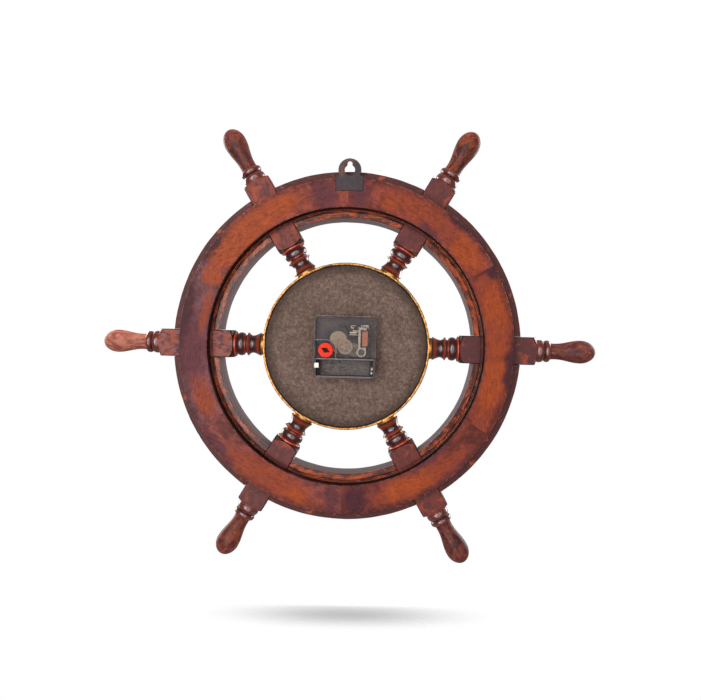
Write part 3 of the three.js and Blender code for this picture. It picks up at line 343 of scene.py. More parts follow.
# The rim's stains, then each facing's own tone, then its patches: stain, degrees from the facing's
# middle, radius, half the length along the rim, half the width across it
STAINS = {
    "orange": (0.400, 0.066, 0.011),
    "amber": (0.330, 0.054, 0.017),
    "plum": (0.130, 0.030, 0.038),
    "dark": (0.066, 0.014, 0.020),
}
BASES = [
    (0.230, 0.078, 0.086),
    (0.370, 0.072, 0.038),
    (0.300, 0.052, 0.036),
    (0.280, 0.046, 0.022),
    (0.240, 0.042, 0.026),
    (0.270, 0.064, 0.052),
]
SPOTS = [
    [("plum", -2, 139, 38, 14), ("amber", -22, 136, 20, 9), ("dark", 11, 147, 26, 6),
     ("orange", 27, 135, 9, 9), ("amber", 13, 130, 18, 4)],
    [("orange", -12, 137, 44, 13), ("orange", -18, 137, 26, 11), ("dark", -25, 149, 18, 4),
     ("orange", 5, 138, 15, 9), ("plum", 22, 138, 15, 14), ("amber", 28, 143, 8, 5)],
    [("plum", -26, 138, 9, 14), ("amber", -4, 139, 36, 11), ("plum", 4, 128, 10, 4),
     ("orange", 21, 137, 19, 11), ("orange", -14, 133, 8, 4), ("dark", 12, 149, 14, 3)],
    [("amber", -2, 137, 60, 12), ("dark", -29, 148, 7, 7), ("orange", -17, 138, 18, 11),
     ("orange", 13, 135, 28, 9), ("dark", 5, 150, 30, 5)],
    [("plum", -12, 148, 22, 4), ("amber", -2, 137, 40, 11), ("orange", 5, 138, 24, 9),
     ("dark", 25, 139, 12, 14), ("plum", -8, 127, 20, 3)],
    [("plum", -26, 139, 7, 14), ("amber", 0, 138, 52, 13), ("orange", -13, 140, 10, 8),
     ("plum", 21, 147, 20, 5)],
]


def rim_wood(name, seed, base, spots):
    """Stained board, on which the stain took unevenly, with painted shade on its inner wall and a pale
    edge line that is partly wear and partly painted highlight.
    """
    outer, inner = FACING_OUTER, FACING_INNER
    f = Finish(name, Coat_Weight=0.03, Coat_Roughness=0.25, IOR=1.24)
    shift = (seed * 9.3, seed * 4.7, seed * 11.1)
    warp = f.warped(0.1, 13, shift)
    fine = f.noise((0.75, 0.75, 0.16), 6, 0.7, shift, 0.4)
    figure = f.noise((0.13, 0.13, 0.1), 5, 0.68, (shift[2], shift[0], shift[1]), 1.8)
    mottle = f.noise(0.075, 6, 0.7, shift, 0.6)
    dark, light = (tuple(share * c for c in base) for share in (0.42, 1.15))
    f.colour = f.mix(f.step(mottle, 0.34, 0.64), dark, light)
    for kind, turn, radius, along, across in spots:
        share = f.spot(warp, turn, radius, along, across, 0.55)
        share = f.both(share, f.step(mottle, 0.22, 0.5, 0.45, 1.0))
        f.lay(share, STAINS[kind])
    deep = f.step(figure, 0.5, 0.72, 0, 0.55)
    f.lay(deep, f.tinted(f.colour, (0.42, 0.36, 0.5)))
    bright = f.step(figure, 0.44, 0.24, 0, 0.4)
    f.lay(bright, f.tinted(f.colour, (1.45, 1.75, 1.5)))
    curl = f.both(f.step(figure, 0.485, 0.505), f.step(figure, 0.545, 0.515))
    f.lay(f.both(curl, 0.4), (0.085, 0.015, 0.012))
    f.lay(f.step(fine, 0.48, 0.64, 0, 0.48), (0.05, 0.01, 0.012))
    pore = f.step(f.noise((1.3, 1.3, 0.35), 4, 0.7, (shift[1], shift[1], shift[0])), 0.42, 0.28, 0, 0.3)
    f.lay(pore, (0.55, 0.12, 0.035))
    r = f.radius()
    broken = f.noise(0.2, 5, 0.72, (shift[1], shift[2], shift[0]))
    wide = f.either(f.step(r, outer - 7.5, outer - 0.8), f.step(r, inner + 2.4, inner + 0.3))
    f.lay(f.both(wide, f.step(broken, 0.36, 0.64, 0.08, 0.7)), (0.046, 0.01, 0.014))
    # a broken pale line along the back face's edges: partly wear, partly painted highlight
    line = f.either(f.step(r, outer - 0.8, outer - 0.3), f.step(r, inner + 0.7, inner + 0.3))
    corner = f.step(f.math("ABSOLUTE", f.y), RIM_BACK - 0.8, RIM_BACK - 0.4)
    worn = f.both(line, corner, f.step(f.noise(0.3, 4, 0.7, shift), 0.5, 0.6))
    f.lay(f.both(worn, 0.5), (0.42, 0.2, 0.15))
    # painted shade: the facing's inner wall is painted near-black
    wall = f.step(r, inner + 0.22, inner + 0.04)
    f.lay(wall, (0.016, 0.004, 0.004))
    return f.done(f.step(fine, 0.3, 0.75, 0.42, 0.56),
                  f.plus(f.both(fine, 0.8), f.both(broken, 0.6)), 0.4, 0.14)


def felloe_wood(name, seed, glow):
    """The middle layer: dark and flecked outside the facing, glossy and mottled inside it, with painted
    shade at the facing's feet, painted highlight streaks inside and a painted reflection on its inner
    wall.
    """
    f = Finish(name, Coat_Roughness=0.16, IOR=1.28)
    shift = (seed * 6.1, seed * 3.3, seed * 8.7)
    warp = f.warped(0.2, 6, shift)
    grain = f.noise((0.9, 0.9, 0.09), 5, 0.64, shift, 0.5)
    patch = f.clouds(f.vector("MULTIPLY", warp, (0.17, 0.17, 0.085)), 5, 0.66)[0]
    r = f.radius()
    lit = f.step(patch, 0.5 - glow, 0.62 - glow)
    inside = f.mix(lit, (0.105, 0.018, 0.011), (0.47, 0.075, 0.011))
    inside = f.mix(f.step(grain, 0.46, 0.6, 0, 0.85), inside, (0.04, 0.009, 0.008))
    # painted highlight: thin pale streaks along the inner ledge
    highlight_streak = f.step(f.noise((0.8, 0.8, 0.12), 3, 0.6, (shift[1], 4, shift[0]), 0.4), 0.64, 0.7)
    inside = f.mix(f.both(highlight_streak, 0.45), inside, (0.62, 0.26, 0.14))
    edge = f.step(r, FELLOE_INNER + 1.9, FELLOE_INNER + 0.3)
    inside = f.mix(f.both(edge, f.step(grain, 0.3, 0.55, 0.2, 0.7)), inside, (0.05, 0.012, 0.01))
    outside = f.mix(f.step(patch, 0.54, 0.66), (0.095, 0.02, 0.017), (0.42, 0.08, 0.024))
    outside = f.mix(f.step(grain, 0.48, 0.66, 0, 0.85), outside, (0.055, 0.018, 0.02))
    beyond = f.step(r, FACING_OUTER - 1.2, FACING_OUTER - 0.2)
    f.colour = f.mix(beyond, inside, outside)
    # painted shade: a ragged near-black band on the ledge at the foot of the facing's inner wall
    ragged = f.plus(r, f.step(patch, 0.3, 0.7, -0.5, 0.5))
    wall_foot_shade = f.within(ragged, FACING_INNER - 0.3, FACING_INNER + 1.3, 0.3)
    f.lay(wall_foot_shade, (0.012, 0.003, 0.003))
    # painted shade: darker on the outer ledge where the facing stands on it
    foot = f.step(r, FACING_OUTER + 1.4, FACING_OUTER + 0.1)
    f.lay(f.both(foot, beyond, 0.8), (0.03, 0.01, 0.01))
    outer_wall = f.mix(f.step(patch, 0.45, 0.62), (0.11, 0.026, 0.02), (0.3, 0.06, 0.022))
    outer_wall = f.mix(f.step(grain, 0.46, 0.66, 0, 0.7), outer_wall, (0.055, 0.014, 0.014))
    f.lay(f.step(r, FELLOE_OUTER - 0.6, FELLOE_OUTER - 0.2), outer_wall)
    # painted reflection: the felloe's inner wall is painted mauve-grey, standing for the white
    # surroundings seen in it
    inner_wall_reflection = f.mix(grain, (0.21, 0.13, 0.14), (0.29, 0.19, 0.2))
    f.lay(f.step(r, FELLOE_INNER + 0.5, FELLOE_INNER + 0.2), inner_wall_reflection)
    matt = f.either(wall_foot_shade, f.both(beyond, 0.7))
    f.set("Coat Weight", f.step(matt, 0, 1, 0.35, 0.0))
    roughness = f.plus(f.both(matt, 0.28), f.step(grain, 0.3, 0.75, 0.24, 0.4))
    return f.done(roughness, f.plus(grain, f.both(patch, 1.5)), 0.4, 0.22)


def fibre_board():
    f = Finish("fibre board", IOR=1.3)
    fine = f.noise(0.42, 7, 0.8)
    fibres = f.noise((0.22, 0.22, 1.1), 5, 0.72, (3, 1, 0), 1.2)
    specks = f.cells(0.34)
    f.colour = f.ramp(fine, [
        (0.30, (0.062, 0.037, 0.028)),
        (0.44, (0.125, 0.080, 0.062)),
        (0.56, (0.190, 0.124, 0.098)),
        (0.72, (0.360, 0.250, 0.205)),
    ])
    f.lay(f.step(fibres, 0.52, 0.7, 0, 0.4), (0.07, 0.04, 0.03))
    f.lay(f.step(specks, 0.26, 0.08, 0, 0.55), (0.045, 0.023, 0.017))
    cloud = f.noise(0.04, 3, 0.5, (4, 2, 9))
    f.lay(f.step(cloud, 0.42, 0.66, 0, 0.45), f.tinted(f.colour, (1.35, 1.38, 1.45)))
    rub = f.noise((0.02, 0.02, 0.14), 4, 0.6, (8, 2, 1))
    f.lay(f.step(rub, 0.55, 0.72, 0, 0.35), (0.08, 0.046, 0.034))
    edge = f.step(f.plus(f.radius(), f.both(cloud, 10)), 67, 81)
    f.lay(f.both(edge, 0.8), (0.038, 0.023, 0.018))
    # painted shade: a near-black ring at the board's edge, beside the band's rolled lip
    brim = f.step(f.radius(), 73.4, 74.6)
    f.lay(f.both(brim, 0.9), (0.01, 0.006, 0.005))
    return f.done(f.step(fine, 0.3, 0.7, 0.95, 0.78), f.plus(fine, f.both(specks, 0.4)), 0.5, 0.18)


def metal(name, colour, tarnish, roughness, scale, amount, metallic=1.0):
    f = Finish(name, Metallic=metallic)
    stain = f.noise(scale, 6, 0.65)
    scratch = f.noise((scale * 6, scale * 0.6, scale * 6), 3, 0.6)
    f.colour = f.mix(f.step(stain, 0.45, 0.75, 0, amount), colour, tarnish)
    dull = f.step(stain, 0.35, 0.75, roughness, roughness + 0.25)
    return f.done(dull, f.plus(stain, f.both(scratch, 0.5)), 0.2, 0.08)


def hanger_metal():
    """Old dark plating, worn to the bronze at the top and one side of the eye."""
    f = Finish("hanger metal", Metallic=0.55)
    stain = f.noise(0.35, 6, 0.7)
    f.colour = f.mix(f.step(stain, 0.35, 0.7), (0.03, 0.02, 0.023), (0.066, 0.045, 0.05))
    warp = f.warped(0.4, 3)
    top = f.spot(warp, 90, 166.6, 5.5, 2.2, 0.6)
    side = f.spot(warp, 87.5, 159.0, 3.4, 6.5, 0.5)
    worn = f.both(f.either(top, side), f.step(f.noise(0.9, 4, 0.7, (5, 5, 5)), 0.38, 0.58))
    f.lay(f.both(worn, 0.6), (0.2, 0.075, 0.045))
    scratch = f.step(f.noise((0.25, 1, 3.0), 3, 0.6, (2, 0, 7)), 0.6, 0.7)
    f.lay(f.both(scratch, 0.25), (0.2, 0.14, 0.14))
    return f.done(f.step(stain, 0.3, 0.75, 0.42, 0.62), stain, 0.3, 0.1)


def plastic(name, colour, shade, roughness, scale):
    f = Finish(name)
    mottle = f.noise(scale, 5, 0.6)
    f.colour = f.mix(f.step(mottle, 0.35, 0.7), colour, shade)
    dull = f.step(mottle, 0.3, 0.75, roughness - 0.06, roughness + 0.1)
    return f.done(dull, f.noise(scale * 6, 3), 0.15, 0.03)


def winding():
    f = Finish("copper wire", Metallic=0.6)
    wave = f.node("TexWave", Vector=f.place, Scale=0.9, Distortion=0.5)
    wave.bands_direction = "Z"
    turns = wave.outputs["Fac"]
    f.colour = f.mix(turns, (0.34, 0.095, 0.042), (0.78, 0.31, 0.16))
    f.lay(f.step(f.noise(0.7, 4, 0.6), 0.4, 0.65, 0, 0.4), (0.5, 0.16, 0.08))
    return f.done(f.step(f.noise(1.5, 4), 0.3, 0.7, 0.25, 0.45), turns, 0.4, 0.08)


def case_plastic():
    """The case's base: dusty inside the battery bay, with painted shade at the bay's ends, and a painted
    grey reflection along its lower lip.
    """
    f = Finish("case plastic", IOR=1.4)
    mottle = f.noise(0.5, 5, 0.65)
    f.colour = f.mix(f.step(mottle, 0.35, 0.7), (0.046, 0.037, 0.039), (0.08, 0.065, 0.066))
    inner = f.both(f.step(f.z, -9.6, -9.2), f.step(f.y, 23.0, 22.6))
    grey = f.mix(f.step(mottle, 0.35, 0.7), (0.11, 0.087, 0.085), (0.158, 0.126, 0.122))
    f.lay(inner, grey)
    dust = f.noise((0.28, 0.28, 0.6), 6, 0.72, (3, 3, 3), 0.6)
    floor = f.both(f.within(f.z, -26.1, -11.8, 0.2), f.step(f.y, 15, 11))
    bay = f.mix(f.step(dust, 0.34, 0.66), (0.04, 0.028, 0.026), (0.165, 0.128, 0.116))
    # painted shade: the bay's floor is painted near-black towards both ends
    ends = f.step(f.math("ABSOLUTE", f.x), 21.0, 23.5)
    bay = f.mix(f.both(ends, 0.92), bay, (0.008, 0.006, 0.006))
    f.lay(floor, bay)
    # painted reflection: the lower lip's outer wall is painted grey
    lip = f.both(f.step(f.z, -26.0, -26.5), f.step(f.y, 22.0, 23.2))
    f.lay(f.both(lip, f.step(mottle, 0.3, 0.6, 0.55, 0.95)), (0.15, 0.132, 0.142))
    return f.done(f.step(dust, 0.3, 0.7, 0.42, 0.62), dust, 0.25, 0.06)


def smoky_plastic():
    """See-through dark plastic, pale along its edges from scuffs and painted highlight, with painted
    golden glints along its top edge.
    """
    f = Finish("smoky plastic", IOR=1.22)
    haze = f.noise((0.1, 0.1, 0.16), 5, 0.62)
    f.colour = f.mix(f.step(haze, 0.36, 0.66), (0.095, 0.075, 0.08), (0.17, 0.137, 0.139))
    reach = f.either(f.math("ABSOLUTE", f.x), f.math("ABSOLUTE", f.z))
    # pale along the cover's edges: partly scuffs, partly painted highlight
    rim = f.step(reach, 26.6, 27.6)
    scuff_and_sheen = f.step(f.noise(0.4, 5, 0.7, (1, 2, 3)), 0.4, 0.62)
    f.lay(f.both(rim, scuff_and_sheen, 0.6), (0.3, 0.27, 0.28))
    glint = f.both(f.step(f.z, 27.3, 27.75), f.step(f.noise(0.22, 3, 0.6, (6, 2, 8)), 0.42, 0.58))
    f.lay(f.both(glint, 0.8), (0.5, 0.34, 0.18))
    f.set("Alpha", f.plus(f.step(haze, 0.3, 0.7, 0.15, 0.24), f.both(rim, 0.45)))
    return f.done(f.step(haze, 0.3, 0.75, 0.28, 0.44), f.noise(0.8, 4), 0.1, 0.04)


def knob_plastic():
    f = Finish("red plastic", IOR=1.2)
    mottle = f.noise(0.7, 4, 0.6)
    f.colour = f.mix(f.step(mottle, 0.35, 0.7), (1.00, 0.046, 0.018), (0.98, 0.034, 0.013))
    low = f.step(f.y, 23.1, 22.8)
    off_middle = f.vector("SUBTRACT", f.place, (KNOB_X, 0, KNOB_Z))
    away = f.vector("LENGTH", f.vector("MULTIPLY", off_middle, (1, 0, 1)))
    # painted shade: the diamond slot's floor and walls are painted near-black
    slot = f.both(f.step(away, 5.2, 4.8), low)
    f.lay(slot, (0.02, 0.006, 0.006))
    shade = f.both(f.step(away, 4.9, 5.6), f.step(mottle, 0.35, 0.6))
    f.lay(f.both(shade, 0.25), (0.62, 0.03, 0.018))
    return f.done(f.step(mottle, 0.3, 0.75, 0.32, 0.46), f.noise(3.0, 3), 0.12, 0.03)


def dial_paper():
    f = Finish("dial paper")
    cloud = f.noise(0.03, 4, 0.55)
    edge = f.step(f.radius(), 40, 64)
    f.colour = f.mix(f.step(cloud, 0.35, 0.7), (0.84, 0.79, 0.67), (0.77, 0.7, 0.56))
    f.lay(f.both(edge, 0.35), (0.66, 0.55, 0.38))
    return f.done(f.step(cloud, 0.3, 0.7, 0.5, 0.7), f.noise(2.5, 4), 0.12, 0.03)


def clear_glass():
    f = Finish("glass", IOR=1.45)
    f.set("Alpha", 0.12)
    f.colour = f.mix(f.noise(0.02, 2), (0.97, 0.98, 0.98), (0.93, 0.96, 0.95))
    return f.done(0.02, f.noise(0.05, 2), 0.03, 0.02)


# Mesh helpers

def new_object(name, data):
    made = bpy.data.objects.new(name, data)
    scene.collection.objects.link(made)
    return made


def paint(mesh, material):
    mesh.materials.clear()
    mesh.materials.append(material)


def dress(material, *names):
    for name in names:
        paint(nodes[name].data, material)


def add_mesh(name, mesh, material, body, angle=0.0, sharp=35):
    """An object of the mesh, turned about Y so that its +X points along the angle."""
    paint(mesh, material)
    mesh.shade_smooth()
    mesh.set_sharp_from_angle(angle=radians(sharp))
    made = new_object(name, mesh)
    made.matrix_world = Matrix.Rotation(-angle, 4, "Y")
    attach(made, body)
    return made


def mesh_of(name, points, faces):
    mesh = bpy.data.meshes.new(name)
    mesh.from_pydata([tuple(c * MM for c in p) for p in points], [], faces)
    shape = bmesh.new()
    shape.from_mesh(mesh)
    bmesh.ops.remove_doubles(shape, verts=shape.verts, dist=1e-7)
    bmesh.ops.recalc_face_normals(shape, faces=shape.faces)
    shape.to_mesh(mesh)
    shape.free()
    return mesh


def rounded(outline, size, steps=3):
    """A closed outline with each corner cut to a small curve."""
    made = []
    count = len(outline)
    for i, (a, b) in enumerate(outline):
        here = Vector((a, b))
        before = Vector(outline[i - 1])
        after = Vector(outline[(i + 1) % count])
        back = min(size, (before - here).length / 2.2)
        on = min(size, (after - here).length / 2.2)
        start = here + (before - here).normalized() * back
        end = here + (after - here).normalized() * on
        for k in range(steps + 1):
            t = k / steps
            made.append(tuple(start * (1 - t) ** 2 + here * 2 * t * (1 - t) + end * t * t))
    return made


def quads(rows, count, closed):
    """The faces between rows of points, each row closed on itself. Closed: the last meets the first."""
    return [(i * count + k, i * count + (k + 1) % count,
             (i + 1) % rows * count + (k + 1) % count, (i + 1) % rows * count + k)
            for i in range(rows if closed else rows - 1) for k in range(count)]


def lathe(name, outline, sides, wobble=None):
    """A ring about Y from a closed outline of (radius, y)."""
    points = []
    for i in range(sides):
        angle = TAU * i / sides
        for r, y in outline:
            if wobble:
                r, y = wobble(r, y, angle)
            points.append((r * cos(angle), y, r * sin(angle)))
    return mesh_of(name, points, quads(sides, len(outline), True))


def sleeve(name, profile, sides):
    """A ring about X from a closed profile of (x, radius)."""
    points = [(x, r * cos(TAU * k / sides), r * sin(TAU * k / sides))
              for x, r in profile for k in range(sides)]
    return mesh_of(name, points, quads(len(profile), sides, True))


def plate(name, outlines, front, back, bevel=0.0):
    """A flat piece in the wheel's plane from outlines of (x, z), where one inside another is a hole."""
    data = bpy.data.curves.new(name, "CURVE")
    data.dimensions = "2D"
    data.fill_mode = "BOTH"
    for outline in outlines:
        spline = data.splines.new("POLY")
        spline.points.add(len(outline) - 1)
        spline.use_cyclic_u = True
        for point, (x, z) in zip(spline.points, outline):
            point.co = (x * MM, z * MM, 0, 1)
    data.extrude = ((back - front) / 2 - bevel) * MM
    data.bevel_depth = bevel * MM
    data.bevel_resolution = 2
    data.offset = -bevel * MM
    return flat_mesh(data, (front + back) / 2)


def flat_mesh(data, middle):
    """The mesh of a curve or of numerals, stood up in the wheel's plane and facing -Y."""
    made = new_object("outline", data)
    graph = bpy.context.evaluated_depsgraph_get()
    mesh = bpy.data.meshes.new_from_object(made.evaluated_get(graph))
    bpy.data.objects.remove(made)
    mesh.transform(Matrix.Translation((0, middle * MM, 0)) @ Matrix.Rotation(pi / 2, 4, "X"))
    return mesh


def round_points(x, z, radius, start=0.0, end=360.0, steps=48):
    made = []
    for i in range(steps + (end - start < 360)):
        a = radians(start + (end - start) * i / steps)
        made.append((x + radius * cos(a), z + radius * sin(a)))
    return made


def cut(mesh, tool_mesh):
    """The mesh less another one, both in the same place."""
    piece = new_object("piece", mesh)
    tool = new_object("tool", tool_mesh)
    step = piece.modifiers.new("cut", "BOOLEAN")
    step.object = tool
    step.operation = "DIFFERENCE"
    step.solver = "EXACT"
    bpy.context.view_layer.update()
    graph = bpy.context.evaluated_depsgraph_get()
    made = bpy.data.meshes.new_from_object(piece.evaluated_get(graph))
    bpy.data.objects.remove(piece)
    bpy.data.objects.remove(tool)
    return made


def arc_piece(name, outline, end_offset, wobble, steps=40):
    """One sixth of a ring, centred on +X, its ends parallel to the lines between the pieces."""
    points = []
    count = len(outline)
    for i in range(steps + 1):
        share = 2 * i / steps - 1
        for r, y in outline:
            angle = share * (pi / 6 - asin(end_offset / r))
            r, y = wobble(r, y, angle)
            points.append((r * cos(angle), y, r * sin(angle)))
    ends = [tuple(range(count)), tuple(steps * count + k for k in reversed(range(count)))]
    return mesh_of(name, points, quads(steps + 1, count, False) + ends)


def bevelled(node, width, material, segments=2, tool=None):
    """A copy of a CAD node with its sharp edges rounded, in place of the node."""
    mesh = nodes[node].data.copy()
    if tool:
        mesh = cut(mesh, tool)
    shape = bmesh.new()
    shape.from_mesh(mesh)
    bmesh.ops.remove_doubles(shape, verts=shape.verts, dist=2e-6)
    bmesh.ops.dissolve_limit(shape, angle_limit=radians(1), verts=shape.verts, edges=shape.edges)
    sharp = [e for e in shape.edges
             if len(e.link_faces) == 2 and e.calc_face_angle() > radians(35)]
    bmesh.ops.bevel(shape, geom=sharp, offset=width * MM, segments=segments, profile=0.5,
                    affect="EDGES", clamp_overlap=True)
    shape.to_mesh(mesh)
    shape.free()
    made = add_mesh("smooth_" + node, mesh, material, nodes[node]["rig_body"])
    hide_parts(node)


# Camera, floor and light, in metres

DISTANCE = 0.7
ELEVATION = radians(1.5)
AZIMUTH = radians(3.0)  # to the photograph's right
ROLL = radians(1.35)
AIM = Vector((-0.0041, 0, -0.0033))
SENSOR, LENS = 36, 38.6  # millimetres
FLOOR = -0.2525
FLOOR_HALF = 2.5
FLOOR_FADE = 0.145
FLOOR_SQUEEZE = 3.7  # the paper fades this much sooner towards the front and the back
PAPER_WHITE = (0.85, 0.85, 0.85)
GLOW_DIAL_SIDE = 0.2
GLOW_BACK_SIDE = 0.08

roll = Matrix.Rotation(ROLL, 4, "Y")


def tracking(direction):
    """A turn that points -Z along the direction."""
    return direction.to_track_quat("-Z", "Y").to_matrix().to_4x4()


def add_camera():
    data = bpy.data.cameras.new("camera")
    camera = new_object("camera", data)
    data.sensor_width = SENSOR
    data.lens = LENS
    away = Vector((-sin(AZIMUTH) * cos(ELEVATION), cos(AZIMUTH) * cos(ELEVATION), sin(ELEVATION)))
    turn = tracking(AIM - away * DISTANCE) @ Matrix.Rotation(ROLL, 4, "Z")
    camera.matrix_world = Matrix.Translation(away * DISTANCE) @ turn
    scene.camera = camera


def add_floor():
    """White paper under the wheel, which fades into the white background round it."""
    mesh = bpy.data.meshes.new("floor")
    half = FLOOR_HALF
    mesh.from_pydata([(-half, -half, 0), (half, -half, 0), (half, half, 0), (-half, half, 0)], [],
                     [(0, 1, 2, 3)])
    floor = new_object("floor", mesh)
    floor.matrix_world = roll @ Matrix.Translation((0, 0, FLOOR))
    material = bpy.data.materials.new("floor")
    material.use_nodes = True
    n = Nodes(material.node_tree)
    place = n.vector("MULTIPLY", n.node("TexCoord").outputs["Object"], (1, FLOOR_SQUEEZE, 0))
    blend = n.node("MixShader")
    n.put(blend.inputs[0], n.step(n.vector("LENGTH", place), 0, FLOOR_FADE))
    n.put(blend.inputs[1], n.node("BsdfDiffuse", Color=PAPER_WHITE).outputs[0])
    n.put(blend.inputs[2], n.node("BsdfTransparent").outputs[0])
    n.node("OutputMaterial", Surface=blend.outputs[0])
    mesh.materials.append(material)


def add_lamp(name, place, size, power, mirrored=True):
    """A soft lamp that faces the wheel. The camera never sees it, but varnish does if mirrored."""
    data = bpy.data.lights.new(name, "AREA")
    data.shape = "ELLIPSE"
    data.size, data.size_y = size
    data.energy = power
    lamp = new_object(name, data)
    lamp.visible_camera = False
    lamp.visible_glossy = mirrored
    lamp.matrix_world = roll @ Matrix.Translation(place) @ tracking(-Vector(place))


def add_world():
    """White for the camera, also through glass. The wheel's dim glow is stronger on the dial side."""
    world = bpy.data.worlds.new("studio")
    scene.world = world
    world.use_nodes = True
    n = Nodes(world.node_tree)
    path = n.node("LightPath").outputs
    seen = n.either(path["Is Camera Ray"], path["Is Transmission Ray"])
    towards = n.node("SeparateXYZ", Vector=n.node("TexCoord").outputs["Generated"]).outputs[1]
    strength = n.node("Mix")
    n.put(strength.inputs[0], seen)
    n.put(strength.inputs[2], n.step(towards, -0.25, 0.35, GLOW_DIAL_SIDE, GLOW_BACK_SIDE))
    n.put(strength.inputs[3], 1.0)
    background = n.node("Background", Color=(1, 1, 1), Strength=strength.outputs[0])
    n.node("OutputWorld", Surface=background.outputs[0])


scene.view_settings.view_transform = "Standard"
add_camera()
add_floor()
add_world()
add_lamp("left softbox", (0.58, 1.38, 0.05), (0.8, 1.25), 12.0)
add_lamp("right softbox", (-0.66, 1.34, 0.05), (0.8, 1.25), 4.4)
add_lamp("upper softbox", (0.0, 1.34, 0.68), (1.25, 0.75), 5.8)
add_lamp("lower softbox", (0.0, 1.34, -0.68), (1.25, 0.75), 4.2)
add_lamp("overhead", (0, -0.06, 1.5), (0.9, 0.14), 20, False)
add_lamp("dial side left softbox", (-1.3, -1.05, 0.3), (0.9, 1.2), 16)
add_lamp("dial side right softbox", (1.3, -1.05, 0.3), (0.9, 1.2), 16)


# Spokes

BULB = TIP - 13.6
BULB_RADIUS = 10.5
NECK_RADIUS = 7.25
WAIST = 86.6


def bead(start, width, foot, top, steps=14):
    return [(start - width * (1 - cos(pi * i / steps)) / 2,
             foot + (top - foot) * sin(pi * i / steps)) for i in range(steps + 1)]


def shoulder(end, direction, steps=22):
    """The end of the square block, turned so that each flat face ends in an arc."""
    made = []
    for i in range(steps + 1):
        t = 1 - cos(pi / 2 * i / steps)
        made.append((end + direction * SHOULDER * t, SQUARE * sqrt(2 - (1 - t) ** 2)))
    return made


def spoke_profile():
    middle = (BULB_RADIUS + NECK_RADIUS) / 2
    made = [(TIP, 0.0)]
    for i in range(1, 15):
        t = pi / 2 * i / 14
        made.append((BULB + (TIP - BULB) * cos(t), BULB_RADIUS * sin(t)))
    for i in range(1, 19):
        t = i / 18
        made.append((BULB - 23 * t, middle + (BULB_RADIUS - middle) * cos(pi * t)))
    made += [(RING_START + 2.0, 7.3), (RING_START + 0.3, 7.7)]
    made += bead(RING_START, 5.4, 7.9, 10.0)
    made += [(OVOLO_START + 0.2, 7.7)]
    made += bead(OVOLO_START, OVOLO_START - OUTER_BLOCK - 0.3, 7.9, 10.3)
    made += shoulder(OUTER_BLOCK, -1)
    made += [(OUTER_BLOCK - SHOULDER - 1.5 * i, PAST_CORNER) for i in range(1, 40)]
    made += reversed(shoulder(INNER_BLOCK, 1))
    made += [(104.3, 11.2), (104.05, 10.2), (103.8, 11.0), (103.3, 11.7), (102.7, 11.7)]
    made += [(102.2, 11.0), (101.8, 9.9), (101.5, 8.9)]
    made += bead(101.3, 7.0, 8.4, 10.8, 18)
    made += [(94.1, 8.1), (93.2, 8.2), (92.3, 8.9), (91.8, 10.1), (91.3, 10.8), (90.8, 10.6), (90.3, 9.8)]
    start = WAIST + 3.6
    for i in range(1, 19):
        along = start - (start - SPOKE_END) * i / 18
        if along > WAIST:
            swell = 1.7 * ((along - WAIST) / (start - WAIST)) ** 2
        else:
            swell = 2.9 * ((WAIST - along) / (WAIST - SPOKE_END)) ** 1.35
        made.append((along, 8.0 + swell))
    made += [(SPOKE_END, TENON_RADIUS), (TENON_END, TENON_RADIUS), (TENON_END, 0.0)]
    return made


def spoke_mesh():
    """Turned round, but nowhere outside the square stick that it is turned from."""
    angles = sorted({k * 3.75 for k in range(96)} |
                    {45 + 90 * q + d for q in range(4) for d in (-2.2, -1.2, -0.5, 0.5, 1.2, 2.2)})
    points = []
    profile = spoke_profile()
    for along, r in profile:
        for turn in angles:
            a = radians(turn)
            flat = SQUARE / max(abs(cos(a)), abs(sin(a)))
            reach = min(r, flat, BLOCK_CORNER)
            points.append((along, reach * cos(a), reach * sin(a)))
    return mesh_of("spoke", points, quads(len(profile), len(angles), False))


def cut_groove(mesh):
    """The line cut round the rim's back crosses the spoke's block."""
    above = SQUARE + 1.5
    return cut(mesh, lathe("groove", [(GROOVE_IN, GROOVE_FLOOR), (GROOVE_OUT, GROOVE_FLOOR),
                                      (GROOVE_OUT, above), (GROOVE_IN, above)], 360))


# For each spoke: the handle's stain, its streaks, and the square block's stain. The first spoke, on the
# left softbox's side, has pale tones that are partly its stain and partly painted light.
HANDLE_LOOKS = [
    ((0.500, 0.165, 0.105), (0.240, 0.066, 0.048), (0.290, 0.080, 0.058)),
    ((0.070, 0.016, 0.016), (0.170, 0.036, 0.022), (0.250, 0.044, 0.024)),
    ((0.065, 0.013, 0.013), (0.210, 0.042, 0.015), (0.150, 0.026, 0.020)),
    ((0.080, 0.020, 0.022), (0.180, 0.042, 0.028), (0.100, 0.021, 0.022)),
    ((0.060, 0.013, 0.014), (0.170, 0.034, 0.022), (0.180, 0.026, 0.014)),
    ((0.220, 0.045, 0.020), (0.090, 0.018, 0.016), (0.150, 0.030, 0.024)),
]


def add_spokes():
    mesh = cut_groove(spoke_mesh())
    for i in range(6):
        finish = turned_wood("turned wood %d" % (i + 1), i + 1, *HANDLE_LOOKS[i])
        made = add_mesh("turned_spoke_%d" % (i + 1), mesh.copy(), finish, "wheel", TAU * i / 6, 40)
        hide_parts("spoke_%d" % (i + 1))


add_spokes()


# Rim

def hanger_slot(angle):
    """What is cut from the facings for the hanger, as it lies for the piece at this angle."""
    low, high = HANGER_X - 12.5, HANGER_X + 12.5
    bottom, past_rim = 139.5, 160
    tool = plate("slot", [[(low, bottom), (high, bottom), (high, past_rim), (low, past_rim)]],
                 HANGER_FRONT, RIM_BACK + 1.5)
    tool.transform(Matrix.Rotation(angle, 4, "Y"))
    return tool


